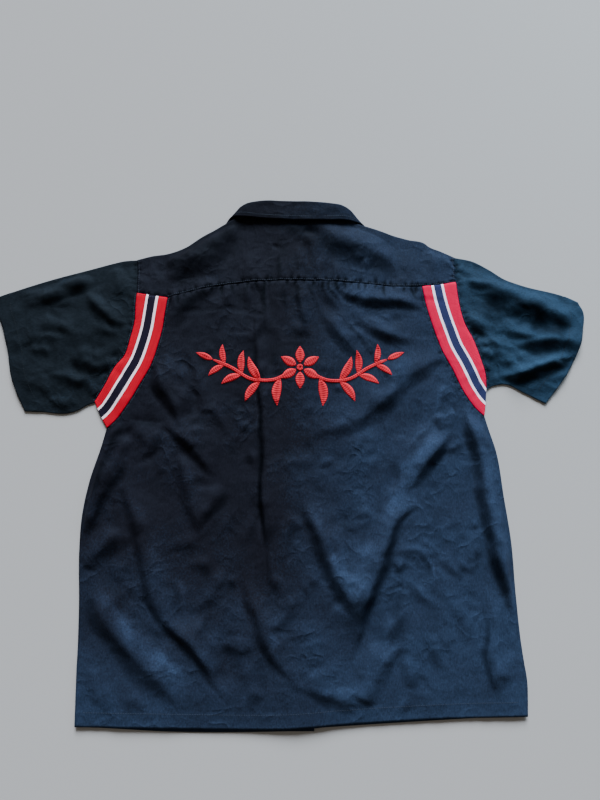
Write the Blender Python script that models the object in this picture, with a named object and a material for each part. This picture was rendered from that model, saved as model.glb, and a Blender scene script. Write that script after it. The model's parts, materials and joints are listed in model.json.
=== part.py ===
"""Short-sleeved bowling shirt, buttoned, lying flat on its front with its back up.

Lengths in the tables are millimetres.  X runs across the shirt from the wearer's left
to the wearer's right, Y runs from the hem to the collar, Z is up and the surface that
the shirt lies on is z = 0.  Two layers of cloth lie on each other: the fronts below,
the back and yoke above, with the sleeves as flattened tubes and the collar as a ring
that is folded over itself.
"""
import math

import bmesh
import bpy
import numpy as np

MM = 0.001

# Cloth
WALL = 1.2               # thickness of every cloth wall
REST_GAP = 0.3           # air between two layers that lie on each other
SEAM_GAP = 0.5           # plan gap between two pieces that are sewn together
LAYER = WALL + REST_GAP  # rise from one layer's middle to the next one's
LOFT = 3.6               # extra air under the back, away from closed edges
LOFT_RUN = 45.0          # distance over which that air builds up from a closed edge
FOLD_RUN = 22.0          # distance over which folds build up from a closed edge
OPEN_SHARE = 0.45        # share of loft and folds left at the hem and the cuffs
OPEN_RUN = 45.0          # distance over which they build up from an open edge
REST_MARGIN = 1.2        # the back rises this many times what lifts it

# Front opening: the centre line leans a little towards the wearer's left
CENTRE_X_AT_HEM = 18.0
HEM_Y = -374.0
CENTRE_LEAN = 0.0175     # X shift towards the left for each unit of Y
OVERLAP_HALF = 17.0      # each front runs this far past the centre line
OVERLAP_GAP = 0.6        # air between the two fronts where they overlap
OVERLAP_CLEAR = 2.0      # the covering front's edge lies this far inside the raised part
STEP_RUN = 12.0          # past that, the raised front comes down over this width

# Buttons
BUTTON_DIAMETER = 11.5
BUTTON_THICKNESS = 2.4
BUTTON_RIM = 1.6
BUTTON_RECESS = 0.7
BUTTON_EDGE = 0.5
BUTTON_SIDES = 12
HOLE_DIAMETER = 1.6
HOLE_SPACING = 2.6
HOLE_SIDES = 6
BUTTON_COUNT = 6
TOP_BUTTON_Y = 254.0
BUTTON_STEP_Y = -92.0
BUTTON_LEVEL_HALF = 8.0  # the placket stays level this far from the button line
BUTTON_FALL = 14.0       # and comes down over this width
BUTTON_END_LEVEL = 25.0  # the same two lengths, along the placket past its end buttons
BUTTON_END_FALL = 30.0

# The fronts lie over the collar's leaves
LEAF_LEVEL = 20.0
LEAF_FALL = 24.0

# Yoke
YOKE_TURN = (8.0, 16.0)  # rows of the part that turns over the shoulder to the front
FOLD_ARC = (30.0, 90.0, 150.0)  # degrees around a folded edge, from the upper layer

# Points well inside a piece, to tell which way is out
BODY_MIDDLE = (10.0, 100.0)
SLEEVE_MIDDLE_LEFT = (-320.0, 160.0)
SLEEVE_MIDDLE_RIGHT = (350.0, 160.0)

# Grids: how many steps each run of an edge has, the same on both sides of a seam
HEM_STEPS = 28
BACK_SIDE_STEPS = 22
BAND_STEPS = 10
BAND_WIDTH_STEPS = 3
BAND_TOP_STEPS = 2       # of the yoke's lower edge, over the top of a band
YOKE_SEAM_STEPS = 24
YOKE_SIDE_STEPS = 7
SHOULDER_STEPS = 8
NECK_STEPS = 12
NECK_RUN_STEPS = 12
ARM_STEPS = 9
ARM_YOKE_STEPS = 3
ARM_TURN_STEPS = 2
SLEEVE_STEPS = 10
VENT_STEPS = 3
SIDE_STEPS = 11
FRONT_NECK_STEPS = 6
OVERLAP_COLUMNS = (-17.0, -12.0, -7.0, -2.0, 2.0, 7.0, 12.0, 17.0)

COLOURS = {
    "cloth": (0.016, 0.024, 0.040, 1.0),
    "sleeve_cloth": (0.014, 0.026, 0.040, 1.0),
    "rib_knit": (0.62, 0.02, 0.04, 1.0),
    "button": (0.020, 0.022, 0.028, 1.0),
}

# Edges in plan, (x, y).  "left" is the wearer's left.
HEM = [(-285, -374), (-218, -375), (-91, -377), (-24, -377), (75, -371), (204, -364), (321, -361)]
SIDE_LEFT = [(-285, -374), (-286, -341), (-287, -305), (-288, -262), (-290, -211), (-294, -147),
             (-293, -95), (-285, -46), (-272, 0), (-265, 29)]
SIDE_RIGHT = [(321, -361), (323, -315), (320, -289), (318, -262), (315, -201), (313, -130),
              (307, -74), (298, 0), (291, 24), (285, 47)]
YOKE_SEAM = [(-184, 227), (-149, 236), (-91, 248), (16, 253), (103, 250), (161, 244), (201, 245)]
BAND_INNER_LEFT = [(-265, 29), (-254, 39), (-238, 61), (-220, 93), (-205, 122), (-196, 151),
                   (-190, 178), (-187, 202), (-184, 227)]
BAND_INNER_RIGHT = [(285, 47), (274, 57), (260, 76), (240, 119), (227, 145), (219, 169),
                    (210, 199), (204, 226), (201, 245)]
BAND_OUTER_LEFT = [(-285, 68), (-271, 92), (-257, 120), (-244, 137), (-237, 162), (-231, 194),
                   (-231, 216), (-230, 234)]
BAND_OUTER_RIGHT = [(290, 86), (290, 105), (284, 130), (272, 166), (262, 187), (257, 207),
                    (254, 229), (252, 252)]
BAND_TOP_LEFT = [(-230, 234), (-207, 230), (-184, 227)]
BAND_TOP_RIGHT = [(252, 252), (226, 247), (201, 245)]
BAND_END_LEFT = [(-285, 68), (-276, 48), (-265, 29)]
BAND_END_RIGHT = [(290, 86), (288, 66), (285, 47)]
ARM_YOKE_LEFT = [(-230, 234), (-231, 262), (-233, 287)]
ARM_YOKE_RIGHT = [(252, 252), (252, 274), (252, 291)]
SHOULDER_LEFT = [(-233, 287), (-211, 293), (-186, 297), (-158, 308), (-138, 322), (-115, 335),
                 (-101, 344), (-85, 354)]
SHOULDER_RIGHT = [(252, 291), (231, 301), (213, 309), (207, 314), (182, 320), (158, 327),
                  (133, 336), (103, 346)]
NECK_BACK = [(-85, 354), (-70, 356.8), (-48, 358.6), (9, 359.5), (62, 357.3), (88, 351.8),
             (103, 346)]
NECK_FRONT_LEFT = [(-78, 339), (-70, 316), (-50, 293), (-29, 281), (-10.3, 275)]
NECK_FRONT_RIGHT = [(98, 331), (89, 309), (68, 290), (44, 280), (23.7, 275)]
PLACKET_TOP_LEFT = [(6.0, 275), (-2, 275), (-10.3, 275)]
PLACKET_TOP_RIGHT = [(7.4, 275), (16, 275), (23.7, 275)]
NECK_SIDE_LEFT = [(-78, 339), (-81, 347), (-83.5, 354.7)]
NECK_SIDE_RIGHT = [(98, 331), (99.8, 339), (101.6, 346.8)]
NECK_BACK_OUTER = [(-83.5, 354.7), (-70, 357), (-48, 359), (9, 360), (62, 358), (88, 352.3),
                   (101.6, 346.8)]
SLEEVE_TOP_LEFT = [(-233, 287), (-255, 285), (-267, 282), (-302, 272), (-362, 255), (-421, 235),
                   (-442, 227)]
SLEEVE_TOP_RIGHT = [(252, 291), (279, 285), (303, 272), (327, 256), (350, 247), (422, 226),
                    (436, 219)]
SLEEVE_UNDER_LEFT = [(-285, 68), (-299, 62), (-309, 56), (-322, 52), (-364, 54), (-387, 55)]
SLEEVE_UNDER_RIGHT = [(290, 86), (297, 91), (307, 94), (318, 95), (346, 82), (377, 66)]
CUFF_LEFT = [(-442, 227), (-441, 212), (-428, 176), (-419, 146), (-409, 102), (-398, 76),
             (-387, 55)]
CUFF_RIGHT = [(436, 219), (442, 205), (439, 177), (428, 142), (415, 117), (396, 90),
              (377, 66)]
ARM_FRONT_LEFT = [(-285, 68), (-262, 86), (-238, 120), (-222, 165), (-217, 215)]
ARM_FRONT_RIGHT = [(290, 86), (276, 101), (254, 128), (240, 165), (236, 215)]
HEM_FRONT_LEFT = [(-282, -374), (-225, -377), (-167, -380), (-60, -381), (1.1, -380)]
HEM_FRONT_RIGHT = [(317, -360), (204, -366), (100, -372), (35, -376)]
VENT_LEFT = [(-282, -374), (-283, -341), (-285, -309), (-288, -262)]
VENT_RIGHT = [(317, -360), (318, -320), (317, -296), (318, -262)]

# Collar, station by station from the left front end round the back of the neck to the
# right front end: the roll line, the place along the neck seam and the free edge.  The
# neck seam is counted in runs: 0 to 1 top of the placket, 1 to 2 left front, 2 to 3
# turned part of the yoke, 3 to 4 rise from the lower to the upper layer, 4 to 5 back,
# then the same on the right.
COLLAR = [
    # roll x, y, z,        seam,  edge x, y, z
    ((5.0, 284, 1.45), 0.00, (-46, 226, 0.6)),
    ((-16, 290, 1.45), 1.10, (-64, 243, 0.6)),
    ((-40, 307, 1.45), 1.50, (-82, 272, 0.6)),
    ((-60, 332, 1.45), 1.85, (-97, 304, 0.6)),
    ((-69, 352, 1.45), 2.30, (-102, 330, 0.6)),
    ((-74, 362, 1.80), 2.90, (-100, 345, 0.6)),
    ((-78, 367, 5.00), 3.40, (-95, 354, 1.8)),
    ((-75, 371, 10.0), 4.00, (-87, 358, 6.0)),
    ((-68, 374, 14.0), 4.10, (-75, 356, 10.2)),
    ((-50, 376.5, 16.2), 4.24, (-48, 352, 11.8)),
    ((10, 377, 17.0), 4.52, (10, 348.5, 12.0)),
    ((60, 375, 16.2), 4.78, (61, 348.5, 11.8)),
    ((83, 371, 14.0), 4.90, (90, 349.5, 10.0)),
    ((93, 366, 9.50), 5.00, (103, 348.5, 6.0)),
    ((97, 361, 4.60), 5.60, (113, 346.5, 1.8)),
    ((95, 356, 1.50), 6.10, (119, 341, 0.6)),
    ((88, 343, 1.45), 6.70, (121, 322, 0.6)),
    ((77, 325, 1.45), 7.15, (114, 296, 0.6)),
    ((57, 303, 1.45), 7.50, (97, 265, 0.6)),
    ((31, 289, 1.45), 7.90, (79, 238, 0.6)),
    ((8.5, 284, 1.45), 9.00, (60, 222, 0.6)),
]
COLLAR_ROLL_RADIUS = 0.85
COLLAR_ROLL_ARC = (-90, -30, 30, 90)   # degrees over the roll, from the stand to the fall
STAND_SHARES = (0.0, 0.33, 0.67)       # points across the stand, from the neck seam
FALL_SHARES = (0.33, 0.67, 1.0)        # points across the fall, to the free edge
COLLAR_STEPS = 2         # steps of the wall from one station to the next

# Folds of the upper layer.  A route's left and right are seen walking along it.
FOLDS = [
    # name, height, left width, right width, share of the route to rise and to fall, route
    ("arm of the Y, right", 11, 13, 27, 0.15, 0.25,
     [(232, 27), (185, -27), (158, -55), (137, -96), (118, -137), (105, -184), (96, -226)]),
    ("arm of the Y, left", 8, 18, 12, 0.25, 0.15,
     [(16, -44), (33, -97), (62, -144), (76, -181), (92, -222)]),
    ("stem of the Y", 6, 20, 24, 0.35, 0.25, [(146, -190), (132, -256), (112, -325)]),
    ("beside the right seam", 10, 13, 15, 0.20, 0.25,
     [(257, 80), (262, 25), (272, -47), (286, -102), (298, -144), (303, -191), (306, -245)]),
    ("lower left", 10, 21, 14, 0.10, 0.20,
     [(-284, -184), (-258, -205), (-227, -243), (-198, -283), (-162, -314), (-125, -350)]),
    ("long left", 7, 17, 12, 0.20, 0.15,
     [(-246, -47), (-217, -86), (-201, -137), (-193, -176), (-182, -213), (-160, -247),
      (-131, -276), (-100, -301), (-72, -340)]),
    ("lower centre", 4, 14, 12, 0.30, 0.30,
     [(-67, -173), (-49, -217), (-36, -259), (-15, -291), (16, -309), (46, -327)]),
    ("bulge over the hem", 7, 12, 22, 0.25, 0.30,
     [(152, -235), (140, -275), (118, -312), (95, -331), (70, -333), (40, -318), (5, -303)]),
    ("under the left band", 9, 19, 12, 0.15, 0.20, [(-204, 133), (-180, 90), (-158, 52), (-150, 25)]),
    ("next to it", 7, 17, 12, 0.30, 0.25, [(-176, 32), (-142, 5), (-114, -32)]),
    ("left edge", 6, 14, 12, 0.25, 0.10, [(-226, -100), (-257, -136), (-286, -158)]),
    ("across, under the yoke", 7, 13, 12, 0.20, 0.25, [(70, 230), (114, 225), (151, 224), (206, 208)]),
    ("across, second", 5, 14, 12, 0.30, 0.30, [(85, 198), (132, 172), (172, 160), (226, 172)]),
    ("across, broad", 9, 25, 17, 0.55, 0.10,
     [(16, 17), (81, 43), (130, 75), (166, 114), (208, 135), (252, 142)]),
    ("slanting", 4, 12, 12, 0.30, 0.30, [(34, 203), (53, 175), (83, 137)]),
    ("left of the yoke", 9, 12, 18, 0.35, 0.20, [(-86, 330), (-115, 302), (-147, 257), (-178, 200)]),
    ("right of the yoke", 9, 19, 13, 0.30, 0.25, [(92, 336), (128, 318), (153, 292), (176, 256)]),
    ("left sleeve, top", 5, 12, 12, 0.20, 0.20, [(-422, 216), (-346, 240), (-290, 258)]),
    ("left sleeve, deep", 9, 14, 12, 0.20, 0.15, [(-312, 232), (-271, 203), (-222, 193)]),
    ("left sleeve, middle", 7, 13, 12, 0.25, 0.20, [(-335, 145), (-283, 151), (-232, 149)]),
    ("left sleeve, low", 5, 12, 12, 0.30, 0.30, [(-350, 98), (-286, 101)]),
    ("right sleeve, top", 13, 13, 19, 0.25, 0.10, [(280, 250), (348, 234), (391, 216), (438, 196)]),
    ("right sleeve, second", 9, 17, 12, 0.20, 0.15, [(274, 190), (343, 171), (396, 154), (434, 160)]),
    ("right sleeve, low", 8, 14, 12, 0.25, 0.10, [(310, 100), (354, 114), (397, 131), (424, 133)]),
]


def clear_scene():
    for old in list(bpy.data.objects):
        bpy.data.objects.remove(old, do_unlink=True)


def material(name):
    made = bpy.data.materials.new(name)
    made.use_nodes = True
    shader = made.node_tree.nodes["Principled BSDF"]
    shader.inputs["Base Color"].default_value = COLOURS[name]
    shader.inputs["Roughness"].default_value = 0.45 if name == "button" else 0.85
    shader.inputs["Metallic"].default_value = 0.0
    return made


def ease(value):
    """Smooth step from 0 at 0 to 1 at 1."""
    held = np.clip(value, 0.0, 1.0)
    return held * held * (3.0 - 2.0 * held)


def curve(points, shares):
    """Points of a smooth curve through the given ones, at shares 0..1 of its length."""
    knots = np.array(points, dtype=float)
    steps = np.linalg.norm(np.diff(knots, axis=0), axis=1)
    at = np.concatenate([[0.0], np.cumsum(steps)])
    at /= at[-1]
    slope = np.gradient(knots, at, axis=0)
    shares = np.clip(np.asarray(shares, dtype=float), 0.0, 1.0)
    index = np.clip(np.searchsorted(at, shares, side="right") - 1, 0, len(at) - 2)
    span = at[index + 1] - at[index]
    t = ((shares - at[index]) / span)[:, None]
    span = span[:, None]
    return ((2 * t**3 - 3 * t**2 + 1) * knots[index]
            + (t**3 - 2 * t**2 + t) * span * slope[index]
            + (3 * t**2 - 2 * t**3) * knots[index + 1]
            + (t**3 - t**2) * span * slope[index + 1])


def sampled(points, steps=24):
    return curve(points, np.linspace(0.0, 1.0, steps + 1))


def through(points, steps):
    """Points of a smooth curve with the same number of steps between all given points."""
    run = np.concatenate([[0.0], np.cumsum(np.linalg.norm(np.diff(points, axis=0), axis=1))])
    places = np.linspace(0, len(points) - 1, steps * (len(points) - 1) + 1)
    return curve(points, np.interp(places, np.arange(len(points)), run / run[-1]))


def joined(*runs):
    """Run several curves end to end; each run is (points, number of steps)."""
    parts = [sampled(points, steps) for points, steps in runs]
    return np.concatenate([parts[0]] + [part[1:] for part in parts[1:]])


def spacing(first, second):
    """Mean share of length at each point of two edges that face each other."""
    shares = []
    for edge in (first, second):
        steps = np.linalg.norm(np.diff(edge, axis=0), axis=1)
        run = np.concatenate([[0.0], np.cumsum(steps)])
        shares.append(run / run[-1])
    return (shares[0] + shares[1]) / 2


def patch(bottom, top, left, right):
    """Coons patch between four edges in plan, as rows from bottom to top."""
    u = spacing(bottom, top)[None, :, None]
    v = spacing(left, right)[:, None, None]
    ruled = (1 - v) * bottom[None] + v * top[None]
    ruled = ruled + (1 - u) * left[:, None] + u * right[:, None]
    corners = ((1 - u) * (1 - v) * bottom[0] + u * (1 - v) * bottom[-1]
               + (1 - u) * v * top[0] + u * v * top[-1])
    return ruled - corners


def pull_in(plan, sides):
    """Move the named edges of a plan grid inwards by half a seam gap."""
    moved = plan.copy()
    for side in sides:
        view = {"bottom": plan, "top": plan[::-1],
                "left": plan.transpose(1, 0, 2), "right": plan.transpose(1, 0, 2)[::-1]}[side]
        target = {"bottom": moved, "top": moved[::-1],
                  "left": moved.transpose(1, 0, 2), "right": moved.transpose(1, 0, 2)[::-1]}[side]
        along = np.gradient(view[0], axis=0)
        across = np.stack([-along[:, 1], along[:, 0]], axis=1)
        across /= np.linalg.norm(across, axis=1, keepdims=True)
        inward = view[1] - view[0]
        across *= np.sign(np.sum(across * inward, axis=1, keepdims=True))
        target[0] += across * SEAM_GAP / 2
    return moved


def distance_to(x, y, line):
    """Distance to a polyline, the side it lies on (+1 left) and the share along it."""
    starts, ends = line[:-1], line[1:]
    run = ends - starts
    lengths = np.linalg.norm(run, axis=1)
    before = np.concatenate([[0.0], np.cumsum(lengths)])
    spot = np.stack([x.ravel(), y.ravel()], axis=1)[:, None, :]
    t = np.sum((spot - starts) * run, axis=2) / lengths**2
    t = np.clip(t, 0.0, 1.0)
    offset = spot - (starts + t[..., None] * run)
    squared = np.sum(offset**2, axis=2)
    best = np.argmin(squared, axis=1)
    row = np.arange(len(best))
    gap = np.sqrt(squared[row, best])
    side = np.sign(run[best, 0] * offset[row, best, 1] - run[best, 1] * offset[row, best, 0])
    share = (before[best] + t[row, best] * lengths[best]) / before[-1]
    return gap.reshape(x.shape), side.reshape(x.shape), share.reshape(x.shape)


CLOSED_EDGES = [sampled(edge) for edge in (
    SIDE_LEFT[3:], SIDE_RIGHT[3:], BAND_END_LEFT, BAND_END_RIGHT, SHOULDER_LEFT, SHOULDER_RIGHT,
    SLEEVE_TOP_LEFT, SLEEVE_TOP_RIGHT, SLEEVE_UNDER_LEFT, SLEEVE_UNDER_RIGHT)]
OPEN_EDGES = [sampled(edge) for edge in (
    HEM, SIDE_LEFT[:4], SIDE_RIGHT[:4], CUFF_LEFT, CUFF_RIGHT)]


def nearest(x, y, lines):
    return np.minimum.reduce([distance_to(x, y, line)[0] for line in lines])


def folds(x, y):
    """Height that the folds add to the upper layer."""
    total = np.zeros_like(x)
    for _, height, left, right, rise, fall, route in FOLDS:
        gap, side, share = distance_to(x, y, sampled(route))
        width = np.where(side > 0, left, right)
        total += height * np.exp(-(gap / width)**2) * ease(share / rise) * ease((1 - share) / fall)
    return total


def centre_x(y):
    return CENTRE_X_AT_HEM - CENTRE_LEAN * (y - HEM_Y)


def inside(x, y, outline):
    """Which points lie inside a closed outline."""
    hit = np.zeros(x.shape, dtype=bool)
    for (x0, y0), (x1, y1) in zip(outline, np.roll(outline, -1, axis=0)):
        spans = (y0 > y) != (y1 > y)
        rise = y1 - y0 if y1 != y0 else 1e-9
        hit ^= spans & (x < (x1 - x0) * (y - y0) / rise + x0)
    return hit


def leaf_outlines():
    """Plan outline of each front leaf of the collar, from its tip to the neck's side."""
    outlines = []
    for rows in (COLLAR[:6], COLLAR[-6:]):
        edge = [row[2][:2] for row in rows]
        roll = [row[0][:2] for row in rows]
        outlines.append(np.array(edge + roll[::-1], dtype=float))
    return outlines


LEAVES = leaf_outlines()


def lower_rise(x, y):
    """How far the collar's leaves and the buttons lift what lies over them."""
    lift = np.zeros_like(x)
    for outline in LEAVES:
        ring = np.concatenate([outline, outline[:1]])
        gap = distance_to(x, y, ring)[0]
        gap[inside(x, y, outline)] = 0.0
        lift = np.maximum(lift, LAYER * ease(1 - (gap - LEAF_LEVEL) / LEAF_FALL))
    off_line = np.abs(x - centre_x(y))
    last_y = TOP_BUTTON_Y + BUTTON_STEP_Y * (BUTTON_COUNT - 1)
    past_end = np.maximum(y - TOP_BUTTON_Y, last_y - y)
    across = ease(1 - (off_line - BUTTON_LEVEL_HALF) / BUTTON_FALL)
    along = ease(1 - (past_end - BUTTON_END_LEVEL) / BUTTON_END_FALL)
    return np.maximum(lift, (BUTTON_THICKNESS + REST_GAP) * across * along)


def lower_middle(x, y):
    """Middle of the lower layer: the left front, and all that lies on the surface."""
    return WALL / 2 + lower_rise(x, y)


def front_right_middle(x, y):
    """The right front, which lies over the left one along the front opening."""
    past = x - (centre_x(y) + OVERLAP_HALF + OVERLAP_CLEAR)
    return lower_middle(x, y) + (WALL + OVERLAP_GAP) * ease(1 - past / STEP_RUN)


def fronts_top(x, y):
    """Upper face of whichever front is on top."""
    short = centre_x(y) - OVERLAP_HALF - OVERLAP_CLEAR - x
    over = ease(1 - short / STEP_RUN)
    return lower_middle(x, y) * (1 - over) + front_right_middle(x, y) * over + WALL / 2


def upper_middle(x, y):
    """Middle of the upper layer: back, yoke, bands and the upper side of the sleeves."""
    closed = nearest(x, y, CLOSED_EDGES)
    opened = nearest(x, y, OPEN_EDGES)
    at_open = OPEN_SHARE + (1 - OPEN_SHARE) * ease(opened / OPEN_RUN)
    air = LOFT * ease(closed / LOFT_RUN) + folds(x, y) * ease(closed / FOLD_RUN)
    resting = WALL / 2 + LAYER + (fronts_top(x, y) - WALL) * REST_MARGIN
    return np.maximum(resting, WALL / 2 + LAYER + air * at_open)


def raised(plan, height):
    """Add heights to a plan grid."""
    return np.concatenate([plan, height(plan[..., 0], plan[..., 1])[..., None]], axis=-1)


def cloth(name, points, slot, ring=False, keep=None, even=True):
    """One piece of cloth: a sheet through rows of points, thickened on both sides."""
    rows, columns = points.shape[:2]
    bm = bmesh.new()
    grid = [[bm.verts.new(point * MM) for point in row] for row in points]
    for i in range(rows - 1):
        for j in range(columns if ring else columns - 1):
            if keep is not None and not keep[i, j]:
                continue
            after = (j + 1) % columns
            bm.faces.new((grid[i][j], grid[i][after], grid[i + 1][after], grid[i + 1][j]))
    bmesh.ops.delete(bm, geom=[v for v in bm.verts if not v.link_faces], context="VERTS")
    mesh = bpy.data.meshes.new(name)
    bm.to_mesh(mesh)
    bm.free()
    mesh.shade_smooth()
    piece = bpy.data.objects.new(name, mesh)
    bpy.context.collection.objects.link(piece)
    piece.parent = SHIRT
    wall = piece.modifiers.new("wall", "SOLIDIFY")
    wall.thickness = WALL * MM
    wall.offset = 0.0
    wall.use_even_offset = even
    piece.data.materials.append(MATERIALS[slot])
    return piece


def make_back():
    bottom = sampled(HEM, HEM_STEPS)
    top = sampled(YOKE_SEAM, HEM_STEPS)
    left = joined((SIDE_LEFT, BACK_SIDE_STEPS), (BAND_INNER_LEFT, BAND_STEPS))
    right = joined((SIDE_RIGHT, BACK_SIDE_STEPS), (BAND_INNER_RIGHT, BAND_STEPS))
    plan = pull_in(patch(bottom, top, left, right), ["top"])
    sewn = pull_in(plan, ["left", "right"])
    plan[BACK_SIDE_STEPS:] = sewn[BACK_SIDE_STEPS:]
    cloth("back_body", raised(plan, upper_middle), "cloth")


def make_band(name, left, right, top, end):
    """A striped knit band beside the armhole, between edges that run from left to right."""
    plan = patch(sampled(end, BAND_WIDTH_STEPS), sampled(top, BAND_WIDTH_STEPS),
                 sampled(left, BAND_STEPS), sampled(right, BAND_STEPS))
    plan = pull_in(plan, ["left", "right", "top"])
    cloth(name, raised(plan, upper_middle), "rib_knit")


def outward_of(edge, centre):
    """Unit directions in plan across an edge, away from a centre point."""
    along = np.gradient(edge, axis=0)
    across = np.stack([-along[:, 1], along[:, 0]], axis=1)
    across /= np.linalg.norm(across, axis=1, keepdims=True)
    away = edge - np.array(centre, dtype=float)
    return across * np.sign(np.sum(across * away, axis=1, keepdims=True))


def fold_arcs(upper, lower, outward):
    """Rows of points round a folded edge, from the upper layer to the lower one."""
    radius = (upper[:, 2] - lower[:, 2]) / 2
    rows = []
    for angle in FOLD_ARC:
        out = math.sin(math.radians(angle)) * radius
        height = lower[:, 2] + radius * (1 + math.cos(math.radians(angle)))
        rows.append(np.column_stack([upper[:, :2] + outward * out[:, None], height]))
    return np.stack(rows)


def make_yoke():
    """The yoke, whose shoulders turn over to the front; the neck between them is cut."""
    bottom = joined((BAND_TOP_LEFT, BAND_TOP_STEPS), (YOKE_SEAM, YOKE_SEAM_STEPS),
                    (BAND_TOP_RIGHT[::-1], BAND_TOP_STEPS))
    top = joined((SHOULDER_LEFT, SHOULDER_STEPS), (NECK_BACK, NECK_STEPS),
                 (SHOULDER_RIGHT[::-1], SHOULDER_STEPS))
    left = sampled(ARM_YOKE_LEFT, YOKE_SIDE_STEPS)
    right = sampled(ARM_YOKE_RIGHT, YOKE_SIDE_STEPS)
    plan = pull_in(patch(bottom, top, left, right), ["bottom", "left", "right"])
    upper = raised(plan, upper_middle)
    fold = plan[-1]
    outward = outward_of(fold, BODY_MIDDLE)
    turned = [raised(fold - outward * depth, lower_middle) for depth in (0.0,) + YOKE_TURN]
    rows = np.concatenate([upper, fold_arcs(upper[-1], turned[0], outward), np.stack(turned)])
    keep = np.ones((len(rows) - 1, len(fold) - 1), dtype=bool)
    keep[len(upper) - 1:, SHOULDER_STEPS:-SHOULDER_STEPS] = False
    cloth("back_yoke", rows, "cloth", keep=keep)


def shoulder_seam(fold):
    """Edge of the yoke where it has turned over the shoulder, from the arm to the neck."""
    line = sampled(fold, SHOULDER_STEPS)
    return line - outward_of(line, BODY_MIDDLE) * (YOKE_TURN[-1] + SEAM_GAP / 2)


def arm_turn(shoulder):
    """Armhole edge of the part of the yoke that has turned over the shoulder."""
    return np.array([shoulder[0], shoulder_seam(shoulder)[0]], dtype=float)


def front_arm(points, shoulder):
    """Armhole edge of a front, from the shoulder seam down to the side seam."""
    return np.concatenate([shoulder_seam(shoulder)[:1], points[::-1]])


def make_sleeve(name, arm_upper, arm_lower, shoulder, top_edge, under_edge, cuff, middle):
    """A flattened tube: upper layer, folded under edge, lower layer, folded top edge."""
    top_line, under_line = sampled(top_edge, SLEEVE_STEPS), sampled(under_edge, SLEEVE_STEPS)
    arm_up = joined((arm_upper[0], ARM_YOKE_STEPS), (arm_upper[1], BAND_STEPS))
    arm_low = joined((arm_turn(shoulder), ARM_TURN_STEPS),
                     (front_arm(arm_lower, shoulder), ARM_STEPS))
    cuff_up, cuff_low = sampled(cuff, len(arm_up) - 1), sampled(cuff, len(arm_low) - 1)
    upper_plan = pull_in(patch(top_line, under_line, arm_up, cuff_up), ["left"])
    lower_plan = pull_in(patch(top_line, under_line, arm_low, cuff_low), ["left"])
    upper = raised(upper_plan, upper_middle)
    lower = raised(lower_plan, lower_middle)
    under_arc = fold_arcs(upper[-1], lower[-1], outward_of(lower_plan[-1], middle))
    top_arc = fold_arcs(upper[0], lower[0], outward_of(lower_plan[0], middle))
    around = np.concatenate([upper, under_arc, lower[::-1], top_arc[::-1]])
    cloth(name, around.transpose(1, 0, 2), "sleeve_cloth", ring=True)


def make_front(name, sign, vent, side_seam, band_end, arm, hem, shoulder, neck, height):
    """A front, from its side seam and armhole to the edge of the front opening."""
    side = joined((vent, VENT_STEPS), (side_seam, SIDE_STEPS), (band_end[::-1], 1),
                  (front_arm(arm, shoulder)[::-1], ARM_STEPS))
    seam = shoulder_seam(shoulder)
    top_line = np.concatenate([seam[:-1], sampled(neck, FRONT_NECK_STEPS)])
    hem_line = sampled(hem, len(top_line) - 1)
    inner = np.linspace(hem_line[-1], top_line[-1], len(side))
    plan = patch(hem_line, top_line, side, inner)
    sewn = pull_in(plan, ["top", "left"])
    arm_row = VENT_STEPS + SIDE_STEPS + 1
    plan[-1] = sewn[-1]
    plan[arm_row:, 0] = sewn[arm_row:, 0]
    offsets = [sign * offset for offset in OVERLAP_COLUMNS[1:]]
    y = inner[:, 1]
    strip = [np.column_stack([centre_x(y) + offset, y]) for offset in offsets]
    plan = np.concatenate([plan, np.stack(strip, axis=1)], axis=1)
    cloth(name, raised(plan, height), "cloth")


def make_fronts():
    make_front("front_left", 1.0, VENT_LEFT, SIDE_LEFT[3:], BAND_END_LEFT, ARM_FRONT_LEFT,
               HEM_FRONT_LEFT, SHOULDER_LEFT, NECK_FRONT_LEFT, lower_middle)
    make_front("front_right", -1.0, VENT_RIGHT, SIDE_RIGHT[3:], BAND_END_RIGHT, ARM_FRONT_RIGHT,
               HEM_FRONT_RIGHT, SHOULDER_RIGHT, NECK_FRONT_RIGHT, front_right_middle)


def neck_run(plan, lower, first, last):
    """Add heights to a run of the neck seam; first and last are shares of the upper layer."""
    x, y = plan[:, 0], plan[:, 1]
    low = lower(x, y)
    share = np.linspace(first, last, len(plan))
    return np.column_stack([plan, low + share * (upper_middle(x, y) - low)])


def neck_seam(places):
    """Points of the neck seam, with their heights, at places counted in its runs."""
    left = [PLACKET_TOP_LEFT, NECK_FRONT_LEFT[::-1], NECK_SIDE_LEFT]
    right = [PLACKET_TOP_RIGHT, NECK_FRONT_RIGHT[::-1], NECK_SIDE_RIGHT]
    spots = [neck_run(sampled(line, NECK_RUN_STEPS), lower_middle, 0.0, 0.0) for line in left]
    rise = np.repeat(spots[-1][-1:, :2], NECK_RUN_STEPS + 1, axis=0)
    spots.append(neck_run(rise, lower_middle, 0.0, 1.0))
    spots.append(neck_run(sampled(NECK_BACK_OUTER, NECK_RUN_STEPS), lower_middle, 1.0, 1.0))
    rise = np.repeat(spots[-1][-1:, :2], NECK_RUN_STEPS + 1, axis=0)
    spots.append(neck_run(rise, front_right_middle, 1.0, 0.0))
    spots += [neck_run(sampled(line, NECK_RUN_STEPS)[::-1], front_right_middle, 0.0, 0.0)
              for line in right[::-1]]
    ring = np.concatenate([spots[0]] + [run[1:] for run in spots[1:]])
    at = np.clip(places, 0.0, len(spots)) * NECK_RUN_STEPS
    return np.column_stack([np.interp(at, np.arange(len(ring)), ring[:, k]) for k in range(3)])


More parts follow.
